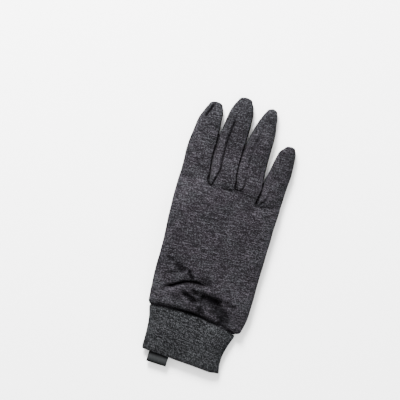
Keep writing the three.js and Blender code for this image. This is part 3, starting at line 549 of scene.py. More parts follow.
        # gives back how many of its rows the seams beside the strips run along
        finger = fingers[number]
        rows, bodyRows = self.fingerRows(finger)
        finish = len(rows) - 1
        first = smoothRow(finger["rows"], 0)
        drift = []
        for place in range(self.fingerRing):
            shape = fingerSection(finger, first, self.ringAngle(number, first[0], place), self.inset)
            drift.append(self.at(self.rootKey(number, place)) - shape)
        start = first[0] * finger["length"]
        for row, values in enumerate(rows[1:], 1):
            values[3] = min(1, values[3])
            insetHere = min(self.inset, values[3] * hand["fingerDepth"] * hand["tipWall"])
            # the seams leave the crotches in a round bend
            climb = clamp01((values[0] * finger["length"] - start) / hand["crotchRound"])
            fade = 1 - math.sqrt(1 - (1 - climb) ** 2)
            for place in range(self.fingerRing):
                spot = fingerSection(finger, values, self.ringAngle(number, values[0], place), insetHere)
                spot.y -= 2 * self.inset * ease(values[0])
                self.point(self.fingerKey(number, row, place), spot + drift[place] * fade)
        for row in range(finish):
            keys = [[self.fingerKey(number, r, p) for p in range(self.fingerRing + 1)] for r in (row, row + 1)]
            self.wrap(keys[0], keys[1], (self.bottom + self.left) // 2)
        self.closeTip(number, finish)
        return bodyRows - round(1.2 * bodyRows / len(finger["rows"]))

    def tipKey(self, number, finish, a, b):
        if b == 0:
            return self.fingerKey(number, finish, a)
        if b == self.sideSteps:
            return self.fingerKey(number, finish, self.left - a)
        if a == 0:
            return self.fingerKey(number, finish, self.fingerRing - b)
        if a == self.right:
            return self.fingerKey(number, finish, self.right + b)
        return ("tip", number, a, b)

    def closeTip(self, number, finish):
        # a slightly swollen grid fills the last small ring
        for a in range(self.acrossSteps + 1):
            upper = self.at(self.fingerKey(number, finish, a))
            lower = self.at(self.fingerKey(number, finish, self.left - a))
            for b in range(1, self.sideSteps):
                down, across = b / self.sideSteps, a / self.acrossSteps
                spot = upper.lerp(lower, down)
                swell = math.sin(math.pi * down) ** 0.7 * math.sin(math.pi * across) ** 0.8
                spot.y += swell * hand["tipSwell"]
                self.point(self.tipKey(number, finish, a, b), spot)
        for b in range(self.sideSteps):
            keys = [[self.tipKey(number, finish, a, k) for a in range(self.acrossSteps + 1)] for k in (b, b + 1)]
            spots = [[(self.at(k).x, self.at(k).y - self.at(k).z) for k in line] for line in keys]
            self.band(keys[1], keys[0], spots[1], spots[0])

    def sewStrips(self):
        # each seam runs down one finger, round the crotch and up the next
        for number in range(3):
            here, there = self.seamRows[number], self.seamRows[number + 1]
            drawn = fingers[number + 1]["seam"]
            for cornerHere, cornerThere in ((self.right, 0), (self.bottom, self.left)):
                line = [self.fingerKey(number, r, cornerHere) for r in range(here, -1, -1)]
                line += [self.fingerKey(number + 1, r, cornerThere) for r in range(1, there + 1)]
                plain = len(line) - there
                weights = [mix(1, drawn, clamp01((n - plain) / strips["seamChange"])) for n in range(len(line))]
                self.seams.append((line, strips["seamFade"], weights))

    def layThumb(self):
        corner = self.underTo
        edge = [self.palmKey(self.holeTo, corner - s) for s in range(self.holeSteps)]
        edge += [self.palmKey(r, corner - self.holeSteps) for r in range(self.holeTo, self.holeFrom, -1)]
        upperCount = len(edge)
        edge += [self.palmKey(self.holeFrom, corner - s) for s in range(self.holeSteps, 0, -1)]
        edge += [self.palmKey(r, corner) for r in range(self.holeFrom, self.holeTo)]
        count = len(edge)
        lowerCount = count - upperCount
        self.seams.append((edge + edge[:1], 0, [1.0] * (count + 1)))
        angles = [180 - 180 * i / upperCount for i in range(upperCount + 1)]
        angles += [-180 * i / lowerCount for i in range(1, lowerCount)]
        rings = [edge] + self.turnThumb(edge, angles, upperCount)
        wall = self.inset * thumb["wallShare"]
        for n, t in enumerate(fineRows([r[0] * thumb["length"] for r in thumb["rows"]], self.rowStep)):
            values = smoothRow(thumb["rows"], t)
            for i in range(count):
                self.point(("thumb", n, i), thumbSection(values, angles[i], wall))
            rings.append([("thumb", n, i) for i in range(count)])
        uvs = []
        for n, ring in enumerate(rings):
            run = [0.0]
            for a, b in zip(ring, ring[1:] + ring[:1]):
                run.append(run[-1] + (self.at(b) - self.at(a)).length)
            # its knit coordinates lie clear of the body's
            uvs.append([(200 + r - run[-1] / 4, 300 + n * self.rowStep) for r in run])
        for n in range(len(rings) - 1):
            self.band(rings[n] + rings[n][:1], rings[n + 1] + rings[n + 1][:1], uvs[n], uvs[n + 1])
        self.closeThumb(rings[-1], uvs[-1], wall)

    def turnThumb(self, edge, angles, upperCount):
        # rings from the opening's edge to the first row that lies along the palm
        rings = []
        places = [(0.0, 0.0)] + thumb["turnSteps"] + [(1.0, 1.0)]
        for n, t in enumerate(fineRows(thumb["turnRows"], self.rowStep * 1.15)[1:-1]):
            reach, fall = smoothRow(places, t)
            reach, fall = max(0, reach), clamp01(fall)
            ring = [("turn", n, i) for i in range(len(edge))]
            for i, key in enumerate(edge):
                start, target = self.at(key), thumbSection(thumb["rows"][0], angles[i], self.inset)
                spot = start.lerp(target, reach)
                low = mix(start.z, target.z, fall)
                high = mix(start.z, target.z, min(1, fall * 4))
                side = abs(math.cos(math.radians(angles[i]))) ** 6
                spot.z = mix(high if 0 < i < upperCount else low, low, side)
                self.point(ring[i], spot)
            rings.append(ring)
        return rings

    def closeThumb(self, end, endUv, wall):
        # the tip closes in shrinking rings
        tip = thumbStart + thumbWay * (thumb["length"] - wall)
        tipPlace = Vector((tip.x, tip.y, thumb["depth"] * 0.4))
        count = len(end)
        previous, previousUv = end, endUv
        for n, share in enumerate(thumb["tipShares"]):
            ring = [("thumbTip", n, i) for i in range(count)]
            bulge = thumb["length"] * thumb["tipBulge"] * math.sin(math.pi * share)
            for i, key in enumerate(end):
                spot = self.at(key).lerp(tipPlace, share)
                spot.x += thumbWay.x * bulge
                spot.y += thumbWay.y * bulge
                self.point(ring[i], spot)
            spots = [(u, v + 1.2) for u, v in previousUv]
            self.band(previous + previous[:1], ring + ring[:1], previousUv, spots)
            previous, previousUv = ring, spots
        self.point("thumbEnd", tipPlace)
        for i in range(count):
            pair = (previous[i], previous[(i + 1) % count])
            self.faces.append([self.index[k] for k in (*pair, "thumbEnd")])
            self.uvs.append([previousUv[i], previousUv[i + 1], (previousUv[i][0], previousUv[i][1] + 1)])


def foldAmount(x, y, fold):
    # depth of one fold at places x, y (arrays, mm): a groove with a raised lip beside it, and the shade painted
    # into its colour
    best = np.full(x.shape, 1e9)
    side = np.zeros(x.shape)
    taper = np.ones(x.shape)
    spots = [(a * hand["palmWidth"], b * hand["bodyLength"]) for a, b in fold["points"]]
    total = sum(math.dist(p, q) for p, q in zip(spots, spots[1:]))
    run = 0
    for (x0, y0), (x1, y1) in zip(spots, spots[1:]):
        length = math.hypot(x1 - x0, y1 - y0)
        wayX, wayY = (x1 - x0) / length, (y1 - y0) / length
        t = np.clip(((x - x0) * wayX + (y - y0) * wayY), 0, length)
        offX, offY = x - x0 - wayX * t, y - y0 - wayY * t
        far = np.hypot(offX, offY)
        nearer = far < best
        best = np.where(nearer, far, best)
        side = np.where(nearer, np.sign(offX * wayY - offY * wayX), side)
        share = (run + t) / total
        taper = np.where(nearer, np.clip(np.minimum(share, 1 - share) / 0.22 + 0.25, 0, 1), taper)
        run += length
    width = np.where(side > 0, fold.get("soft", fold["width"]), fold.get("softUp", fold["width"]))
    groove = -fold["depth"] * np.exp(-(best / width) ** 2)
    shade = fold.get("shade", 0.3) * np.exp(-(best / (width * 1.15 + 0.5)) ** 3) * taper
    lipAt = fold["width"] + fold["lipWidth"] * 0.6
    lip = fold["lip"] * np.exp(-((best - lipAt) / (fold["lipWidth"] * 0.6)) ** 2) * (0.5 + 0.5 * side)
    return (groove + lip) * taper, shade


def ripple(x, y, z, size, seed):
    # slow waves in the cloth, the same on every run
    out = np.empty(len(x))
    for i in range(len(x)):
        out[i] = noise.noise(Vector((x[i] / size + seed, y[i] / size, z[i] / size * 1.6 - seed)))
    return out


def meshOf(name, points, faces, uvs):
    mesh = bpy.data.meshes.new(name)
    mesh.from_pydata([tuple((p + seamMiddle) * millimetre) for p in points], [], faces)
    layer = mesh.uv_layers.new(name="knit")
    flat = [value * millimetre for face in uvs for spot in face for value in spot]
    layer.data.foreach_set("uv", flat)
    piece = bpy.data.objects.new(name, mesh)
    bpy.context.collection.objects.link(piece)
    return piece


def selectOnly(piece):
    bpy.ops.object.select_all(action="DESELECT")
    piece.select_set(True)
    bpy.context.view_layer.objects.active = piece


def faceOutward(piece):
    selectOnly(piece)
    bpy.ops.object.mode_set(mode="EDIT")
    bpy.ops.mesh.select_all(action="SELECT")
    bpy.ops.mesh.normals_make_consistent(inside=False)
    bpy.ops.object.mode_set(mode="OBJECT")


def smoothShade(piece):
    selectOnly(piece)
    bpy.ops.object.shade_smooth()


gloveFabric = {"acrossSteps": 24, "sideSteps": 9, "rowStep": 1.1, "seamDepth": 1.4, "seamWidth": 0.5,
               "seamLip": 0.3, "lipAt": 1.7, "lipWidth": 0.9}
liningFabric = {"acrossSteps": 18, "sideSteps": 3, "rowStep": 1.9, "wall": 2.4, "clear": 1.4,
                "corner": (-28, 45), "cornerReach": 13, "cornerLift": 1.8}
# slow waves of the knit: size and height, in mm, and where the pattern starts
waves = [(26, 0.55, 3.1), (9, 0.16, 7.7)]
# gathers above the cuff, and the knit drawn down at its seam and puffed up beside it
gathers = {"reach": 7.5, "start": 2, "high": 0.55, "turns": 0.62, "smallHigh": 0.3, "smallTurns": 1.13,
           "wander": 3.5}
seamPull = {"depth": 1.6, "width": 1.3, "puff": 1.0, "puffAt": 4.5, "puffWidth": 3}
puckers = {"reach": 9, "start": 2, "high": 0.4, "count": 7, "below": 3}
# how far down and how far in each ring of the rolled wrist edge lies
wristRoll = [(0.35, 0.5), (0.45, 1.3), (0.2, 2.2)]


def vertexArrays(mesh):
    # the vertices' places in millimetres, and their normals
    count = len(mesh.vertices)
    spots, normals = np.empty(count * 3), np.empty(count * 3)
    mesh.vertices.foreach_get("co", spots)
    mesh.vertex_normals.foreach_get("vector", normals)
    return spots.reshape(-1, 3) / millimetre, normals.reshape(-1, 3)


def setVertices(mesh, spots, **values):
    # places in millimetres, and for each name one value a vertex
    mesh.vertices.foreach_set("co", (spots * millimetre).ravel())
    for name, value in values.items():
        mesh.attributes.new(name, "FLOAT", "POINT").data.foreach_set("value", value)
    mesh.update()


def pressFolds(x, y, z, up, down):
    # each fold also adds its painted shade, on the back, the index tip or the palm side
    body = 1 / (1 + np.exp((y - 140) / 3))
    move, crease = np.zeros(len(x)), np.zeros(len(x))
    underneath = down * body * (z > 1.5) * 0.8
    for folds, facing in ((backFolds, up * body), (tipFolds, up), (palmFolds, underneath)):
        for fold in folds:
            amount, shade = foldAmount(x, y, fold)
            move += amount * facing
            crease = np.maximum(crease, shade * facing)
    return move, crease


def drawAtCuff(x, y, z, up, down):
    fromCuff = np.clip(y - seamLine(x), 0, None)
    near = np.exp(-fromCuff / gathers["reach"]) * (1 - np.exp(-fromCuff / gathers["start"]))
    wander = ripple(x, y * 0.3, z, 13, 1.3)
    wave = gathers["high"] * np.sin(x * gathers["turns"] + wander * gathers["wander"])
    wave += gathers["smallHigh"] * np.sin(x * gathers["smallTurns"] + 2)
    pull = -seamPull["depth"] * np.exp(-(fromCuff / seamPull["width"]) ** 2)
    pull += seamPull["puff"] * np.exp(-((fromCuff - seamPull["puffAt"]) / seamPull["puffWidth"]) ** 2)
    # the painted shadow along the seam, where the knit above overhangs the cuff, is broader below the folds and
    # at the right edge
    seamShadowWeight = 0.5 + 0.5 * np.exp(-((x + 4) / 15) ** 2) + 0.2 * np.exp(-((x - 38) / 7) ** 2)
    shade = seamShadowWeight * np.exp(-(fromCuff / (0.4 + 1.7 * seamShadowWeight)) ** 2)
    return near * wave * (up + down), pull * up, shade


def drawSeams(x, y, z, tree, strength):
    found = [tree.find(Vector(spot)) for spot in zip(x, y, z)]
    away = np.array([f[2] for f in found])
    drawn = np.array([strength[f[1]] for f in found])
    groove = -gloveFabric["seamDepth"] * np.exp(-(away / gloveFabric["seamWidth"]) ** 2) * drawn
    lip = np.exp(-((away - gloveFabric["lipAt"]) / gloveFabric["lipWidth"]) ** 2)
    # shade painted along the sewn lines, where the cloth dips into the seam
    shade = np.exp(-(away / (0.68 + 0.62 * drawn)) ** 2) * drawn
    return groove, gloveFabric["seamLip"] * lip * drawn, shade


def puckersAtCrotches(x, y, up, down):
    # small folds that fan out from the bottoms of the crotches
    leftAlong, rightAlong, left, right = palmRows[-1][:4]
    found = []
    for number, (share, past) in enumerate(partings[1:4]):
        atX = mix(left, right, mix(hand["endShare"], 1 - hand["endShare"], share)) * hand["palmWidth"]
        atY = (mix(leftAlong, rightAlong, share) + past) * hand["bodyLength"]
        far = np.hypot(x - atX, y - atY + puckers["below"])
        turn = np.arctan2(y - atY + puckers["below"], x - atX)
        near = np.exp(-(far / puckers["reach"]) ** 2) * (1 - np.exp(-(far / puckers["start"]) ** 2))
        fan = np.sin(turn * puckers["count"] + number * 1.7)
        found.append(near * (y < atY + 1) * puckers["high"] * fan * (up + down))
    return found


def dressSkin(piece, seamTree=None, strength=()):
    # presses folds and seams into the skin and lets it wave; the lining comes without a seam tree
    inner = seamTree is None
    spots, normals = vertexArrays(piece.data)
    if inner:
        normals = -normals
    x, y, z = (spots - np.array(seamMiddle)).T
    up, down = np.clip(normals[:, 2] * 1.6, 0, 1), np.clip(-normals[:, 2] * 1.6, 0, 1)
    move, crease = pressFolds(x, y, z, up, down)
    move += sum(ripple(x, y, z, size, start) * high for size, high, start in waves)
    *moves, shade = drawAtCuff(x, y, z, up, down)
    crease = np.maximum(crease, shade)
    if not inner:
        *sewn, shade = drawSeams(x, y, z, seamTree, strength)
        crease = np.maximum(crease, shade)
        moves += sewn + puckersAtCrotches(x, y, up, down)
    for amount in moves:
        move += amount
    # broad places get faint painted shade where less light falls on the back
    for across, along, reach, amount in paintedShadePlaces:
        away = np.hypot(x - across * hand["palmWidth"], y - along * hand["bodyLength"])
        crease = np.maximum(crease, amount * np.exp(-(away / reach) ** 2) * up)
    spots = spots + normals * move[:, None]
    spots[:, 2] = np.maximum(spots[:, 2], 1.0 if inner else 0.05)
    # the shade painted into the colour goes on each vertex, and the fingertips' yarn is a cooler grey
    setVertices(piece.data, spots, crease=crease, cool=np.clip((y - 165) / 30, 0, 1))


def keepInside(piece, shell, depth):
    # draws the lining in under the back's folds, until it lies at least a depth inside the shell
    def onBack(place):
        return place.y / millimetre - seamMiddle.y < 116.5 and place.z / millimetre > 4.5

    spots = [v.co.copy() for v in shell.data.vertices]
    skin = bvhtree.BVHTree.FromPolygons(spots, [tuple(f.vertices) for f in shell.data.polygons])
    for vertex in piece.data.vertices:
        near, normal, _, _ = skin.find_nearest(vertex.co)
        if onBack(vertex.co) and (vertex.co - near).dot(normal) > -depth:
            vertex.co = near - normal * depth
    # faces that cut across a fold are drawn in whole
    for _ in range(4):
        for face in piece.data.polygons:
            near, normal, _, _ = skin.find_nearest(face.center)
            lack = (face.center - near).dot(normal) + depth * 0.7
            if onBack(face.center) and lack > 0:
                for i in face.vertices:
                    piece.data.vertices[i].co -= normal * lack
    piece.data.update()


def seamPoints(skin):
    # the sewn lines' points for a nearest search, and how hard each is drawn in
    tree = kdtree.KDTree(sum(len(line) for line, _, _ in skin.seams))
    strength = []
    for line, fade, weights in skin.seams:
        for n, key in enumerate(line):
            tree.insert(skin.at(key), len(strength))
            strength.append(weights[n] * (ease(min(n, len(line) - 1 - n) / fade) if fade else 1.0))
    tree.balance()
    return tree, strength


def rollWrist(skin):
    # the wrist edge rolls in under the cuff seam
    chain = [skin.wrist]
    for n, (down, inward) in enumerate(wristRoll):
        for i, key in enumerate(skin.wrist):
            spot = skin.at(key).copy()
            centre = Vector((4.0, spot.y, 4.2))
            spot += (centre - spot).normalized() * inward
            spot.y -= down
            skin.point(("roll", n, i), spot)
        chain.append([("roll", n, i) for i in range(len(skin.wrist))])
    for n in range(len(chain) - 1):
        lower, upper = chain[n + 1] + chain[n + 1][:1], chain[n] + chain[n][:1]
        skin.band(lower, upper, skin.unroll(lower, -1.0 - n), skin.unroll(upper, -float(n)))


def makeLining(shell):
    fabric = liningFabric
    inside = HandSkin(fabric["acrossSteps"], fabric["sideSteps"], fabric["rowStep"], fabric["wall"])
    lining = meshOf("lining", inside.points, inside.faces, inside.uvs)
    dressSkin(lining)
    # it stays clear of the corner where the thumb is set in
    cornerX, cornerY = fabric["corner"]
    for vertex in lining.data.vertices:
        away = math.hypot(vertex.co.x / millimetre - seamMiddle.x - cornerX,
                          vertex.co.y / millimetre - seamMiddle.y - cornerY)
        vertex.co.z += fabric["cornerLift"] * millimetre * ease(1 - away / fabric["cornerReach"])
    keepInside(lining, shell, fabric["clear"] * millimetre)
    lining.data.flip_normals()
    return lining


def joinAtWrist(glove, lining):
    # one body, with its outer skin and lining bridged round the wrist
    selectOnly(lining)
    glove.select_set(True)
    bpy.context.view_layer.objects.active = glove
    bpy.ops.object.join()
    bpy.ops.object.mode_set(mode="EDIT")
    bpy.ops.mesh.select_all(action="DESELECT")
    bpy.ops.mesh.select_mode(type="EDGE")
    bpy.ops.mesh.select_non_manifold(extend=False, use_wire=False, use_multi_face=False,
                                     use_non_contiguous=False, use_verts=False)
    bpy.ops.mesh.bridge_edge_loops()
    bpy.ops.object.mode_set(mode="OBJECT")


def makeGlove():
    fabric = gloveFabric
    outer = HandSkin(fabric["acrossSteps"], fabric["sideSteps"], fabric["rowStep"], 0)
    tree, strength = seamPoints(outer)
    rollWrist(outer)
    glove = meshOf("gloveKnit", outer.points, outer.faces, outer.uvs)
    dressSkin(glove, tree, strength)
    joinAtWrist(glove, makeLining(glove))
    smoothShade(glove)
    return glove


cuff = {
    "length": 40.5, "depth": 8.6, "layers": 1.9, "rowStep": 1.25,
    "ribs": 92, "ribHeight": 0.2, "ribShade": 0.4,
    "seamGap": 0.3, "seamDepth": 1.0, "slopeTop": -0.079, "slopeEdge": -0.062, "cornerDrop": 1.3,
    # along, left, right (of palmWidth), depth
    "rows": [
        (0, -0.44, 0.409, 0.88), (0.1, -0.43, 0.393, 0.93), (0.28, -0.416, 0.366, 0.97),
        (0.52, -0.41, 0.34, 1), (0.76, -0.411, 0.331, 1), (0.93, -0.414, 0.338, 0.97),
        (1, -0.41, 0.343, 0.86),
    ],
    # slow waves: size and height, in mm, and where the pattern starts
    "waves": [(22, 0.45, 5.5), (7, 0.1, 2.5)],
}


def cuffPoint(t, share, inset):
    along, left, right, depth = smoothRow(cuff["rows"], t)
    turn = math.pi - 2 * math.pi * share
    across = signedPower(math.cos(turn), 2 / hand["palmRound"])
    lift = abs(math.sin(turn)) ** (2 / hand["palmRound"])
    fullDepth = min(depth, 1) * cuff["depth"]
    x = mix(left * hand["palmWidth"] + inset, right * hand["palmWidth"] - inset, (across + 1) / 2)
    slope = mix(cuff["slopeTop"], cuff["slopeEdge"], along) * hand["bodyLength"] * across / 2
    slope += seamBow((across + 1) / 2) * (1 - along) ** 2
    # the lower right corner is drawn up a little
    slope += cuff["cornerDrop"] * clamp01(along) ** 4 * ease(across / 0.25 - 3)
    seam = (palmRows[0][0] + palmRows[0][1]) / 2 * hand["bodyLength"] - cuff["seamGap"]
    height = sideHeight(math.sin(turn) > 0, fullDepth * hand["fold"], fullDepth, lift, inset)
    return Vector((x, seam + slope - along * cuff["length"], height))


def cuffProfile():
    # row, inset and shift: down the outside, round the folded edge, up the inside and over the top seam
    rows = fineRows([r[0] * cuff["length"] for r in cuff["rows"]], cuff["rowStep"])
    half, edgeSteps, topSteps = cuff["layers"] / 2, 8, 6
    profile = [(t, 0.0, 0.0) for t in rows]
    for k in range(1, edgeSteps):
        bend = math.pi * k / edgeSteps
        profile.append((rows[-1], half * (1 - math.cos(bend)), -half * math.sin(bend)))
    profile += [(t, cuff["layers"], 0.0) for t in reversed(rows)]
    for k in range(1, topSteps):
        bend = math.pi * k / topSteps
        profile.append((rows[0], half * (1 + math.cos(bend)), 0.35 * math.sin(bend)))
    return profile


def evenShares(around):
    # shares of the turn that make equal steps round the cuff, and its girth
    samples = 1440
    ring = [cuffPoint(3.0, k / samples, 0.0) for k in range(samples + 1)]
    runs = np.concatenate([[0.0], np.cumsum([(b - a).length for a, b in zip(ring, ring[1:])])])
    girth = float(runs[-1])
    return np.interp(np.arange(around) / around * girth, runs, np.arange(samples + 1) / samples), girth


def raiseRibs(mesh, profile, around):
    # ribs, a slow wave, and the knit drawn in at the seam; shade is painted at the seam and in the valleys
    # between the ribs
    spots, normals = vertexArrays(mesh)
    x, y, z = spots.T
    rib = np.cos(np.tile(np.arange(around), len(profile)) / 4 * 2 * np.pi)
    move = rib * cuff["ribHeight"]
    for size, high, start in cuff["waves"]:
        move += ripple(x, y, z, size, start) * high
    fromSeam = np.clip(seamLine(x - seamMiddle.x) + seamMiddle.y - y, 0, None)
    move -= cuff["seamDepth"] * np.exp(-(fromSeam / 1.6) ** 2)
    # painted shade: dark at the seam and in each valley between ribs
    crease = np.maximum(0.7 * np.exp(-(fromSeam / 1.2) ** 2), cuff["ribShade"] * (0.5 - 0.5 * rib) ** 2)
    outside = np.repeat([1.0 if inset < cuff["layers"] / 2 else 0.4 for _, inset, _ in profile], around)
    spots = spots + normals * (move * outside)[:, None]
    spots[:, 2] = np.maximum(spots[:, 2], 0.05)
    setVertices(mesh, spots, crease=crease)


def makeCuff():
    around = cuff["ribs"] * 4
    profile = cuffProfile()
    shares, girth = evenShares(around)
    points, faces, uvs = [], [], []
    lengths = [0.0]
    for a, b in zip(profile, profile[1:]):
        lengths.append(lengths[-1] + math.dist(cuffPoint(a[0], 0.25, a[1]) + Vector((0, a[2], 0)),
                                               cuffPoint(b[0], 0.25, b[1]) + Vector((0, b[2], 0))))
    for t, inset, shift in profile:
        for share in shares:
            spot = cuffPoint(t, share, inset)
            spot.y += shift
            points.append(spot)
    total = len(profile)
    for n in range(total):
        m = (n + 1) % total
        low, high = lengths[n], lengths[n] + 1.2 if m == 0 else lengths[m]
        for i in range(around):
            j = (i + 1) % around
            faces.append([n * around + i, m * around + i, m * around + j, n * around + j])
            u0, u1 = i / around * girth, (i + 1) / around * girth
            uvs.append([(u0, -low), (u0, -high), (u1, -high), (u1, -low)])
    piece = meshOf("cuffRib", points, faces, uvs)
    bpy.context.view_layer.update()
    faceOutward(piece)
    raiseRibs(piece.data, profile, around)
    smoothShade(piece)
    return piece


loop = {
    "across": -0.243, "turn": -3.5, "width": 19.4, "reach": 10.6, "tuck": 14, "web": 1.0, "depth": 2.8,
    "height": 3.8, "steps": 16, "crown": 0.12, "edge": 0.25,
    "shadeAtCuff": (0.97, 3.6), "shadeInFold": (0.93, 2.6),  # how dark, and over how many mm
}


def loopPath(radius):
    # along and height of the ribbon's middle: out under the cuff's edge, round the fold, and back below
    straight = loop["reach"] - radius - loop["web"] / 2
    path = [(loop["tuck"] - k * 1.4, radius) for k in range(10)]
    path += [(1.4 - k * (straight + 1.4) / 8, radius + 0.8 * math.sin(math.pi * k / 8)) for k in range(1, 8)]
    for k in range(11):
        bend = math.pi * k / 10
        path.append((-straight - radius * math.sin(bend), radius * math.cos(bend)))
    path += [(-straight + k * (straight + loop["tuck"]) / 16, -radius) for k in range(1, 17)]
    return path


def makeLoop():
    # a ribbon's cross strip is extruded along its bent path, then given its thickness
    rows = cuff["rows"][-1]
    share = (loop["across"] - rows[1]) / (rows[2] - rows[1])
    seam = (palmRows[0][0] + palmRows[0][1]) / 2 * hand["bodyLength"] - cuff["seamGap"] - cuff["length"]
    edgeY = seam + cuff["slopeEdge"] * hand["bodyLength"] * (share - 0.5)
    middle = loop["across"] * hand["palmWidth"]
    lean = math.radians(loop["turn"])
    path = loopPath((loop["depth"] - loop["web"]) / 2)
    bpy.ops.mesh.primitive_plane_add(size=1, location=(0, 0, 0))
    ribbon = bpy.context.object
    ribbon.name = "pullLoop"
    mesh = ribbon.data
    bm = bmesh.new()
    bm.from_mesh(mesh)
    bmesh.ops.delete(bm, geom=bm.verts[:], context="VERTS")
    steps = loop["steps"]
    grid, layer = [], bm.loops.layers.uv.verify()
    run = 0.0
    runs = []
    for n, (along, height) in enumerate(path):
        if n:
            run += math.dist(path[n - 1], path[n])
        runs.append(run)
        line = []
        for i in range(steps + 1):
            across = i / steps
            crown = loop["crown"] * math.sin(math.pi * across)
            aside = loop["width"] * (across - 0.5)
            spot = Vector((middle + aside * math.cos(lean) - along * math.sin(lean),
                           edgeY + aside * math.sin(lean) + along * math.cos(lean),
                           loop["height"] + height + crown))
            line.append(bm.verts.new((spot + seamMiddle) * millimetre))
        grid.append(line)
    for n in range(len(grid) - 1):
        for i in range(steps):
            face = bm.faces.new((grid[n][i], grid[n][i + 1], grid[n + 1][i + 1], grid[n + 1][i]))
            spots = [(i, n), (i + 1, n), (i + 1, n + 1), (i, n + 1)]
            for corner, (a, b) in zip(face.loops, spots):
                corner[layer].uv = (a / steps * loop["width"] * millimetre, runs[b] * millimetre)
    bm.to_mesh(mesh)
    bm.free()
    mesh.uv_layers[0].name = "knit"
    faceOutward(ribbon)
    thick = ribbon.modifiers.new("thickness", "SOLIDIFY")
    thick.thickness = loop["web"] * millimetre
    thick.offset = 0
    thick.use_even_offset = True
    soften = ribbon.modifiers.new("soften", "BEVEL")
    soften.width = loop["edge"] * millimetre
    soften.segments = 2
    soften.limit_method = "ANGLE"
    for modifier in ("thickness", "soften"):
        bpy.ops.object.modifier_apply(modifier=modifier)
    # painted shadow beside the cuff's edge, and painted shade in the loop's fold
    spots, _ = vertexArrays(ribbon.data)
    x, y, _ = (spots - np.array(seamMiddle)).T
    out = (x - middle) * math.sin(lean) - (y - edgeY) * math.cos(lean)
    (cuffShade, cuffReach), (foldShade, foldReach) = loop["shadeAtCuff"], loop["shadeInFold"]
    crease = np.maximum(cuffShade * np.exp(-(np.clip(out, 0, None) / cuffReach) ** 4),
                        foldShade * np.exp(-((loop["reach"] - out) / foldReach) ** 2))
    setVertices(ribbon.data, spots, crease=crease)
    smoothShade(ribbon)
    return ribbon


def node(tree, kind, place=(0, 0), **settings):
    made = tree.nodes.new(kind)
    made.location = place
    for key, value in settings.items():
        setattr(made, key, value)
    return made


def maths(tree, operation, first, second=None, third=None):
    made = node(tree, "ShaderNodeMath", operation=operation)
    for slot, value in enumerate((first, second, third)):
        if value is None:
            continue
        if isinstance(value, (int, float)):
            made.inputs[slot].default_value = value
        else:
            tree.links.new(value, made.inputs[slot])
    return made.outputs[0]


def stretchedNoise(tree, vector, scale, detail=3.0, roughness=0.55):
    # noise whose grains are stretched by the three scales, per metre
    mapping = node(tree, "ShaderNodeMapping")
    mapping.inputs["Scale"].default_value = scale
    tree.links.new(vector, mapping.inputs["Vector"])
    grains = node(tree, "ShaderNodeTexNoise")
    grains.inputs["Scale"].default_value = 1.0
    grains.inputs["Detail"].default_value = detail
    grains.inputs["Roughness"].default_value = roughness
    tree.links.new(mapping.outputs[0], grains.inputs["Vector"])
    return grains.outputs["Fac"]


# grains of the mixed yarn: how many to the metre across and along, and how strongly they show
yarnGrains = {
    "longStreaks": ((110, 900, 1), 0.9), "shortStreaks": ((640, 1300, 1), 1.2), "patches": ((28, 34, 1), 0.4),
    "speckle": (2100, 2500, 1), "tint": (55, 80, 1), "tintRange": (0.4, 0.65),
}
# a stitch's tone: its own share, and the share that runs on along the yarn
stitchTone = {"own": 0.7, "along": 1.0, "alongScale": (0.37, 1.37, 1), "lean": -1.1, "floor": 0.25}


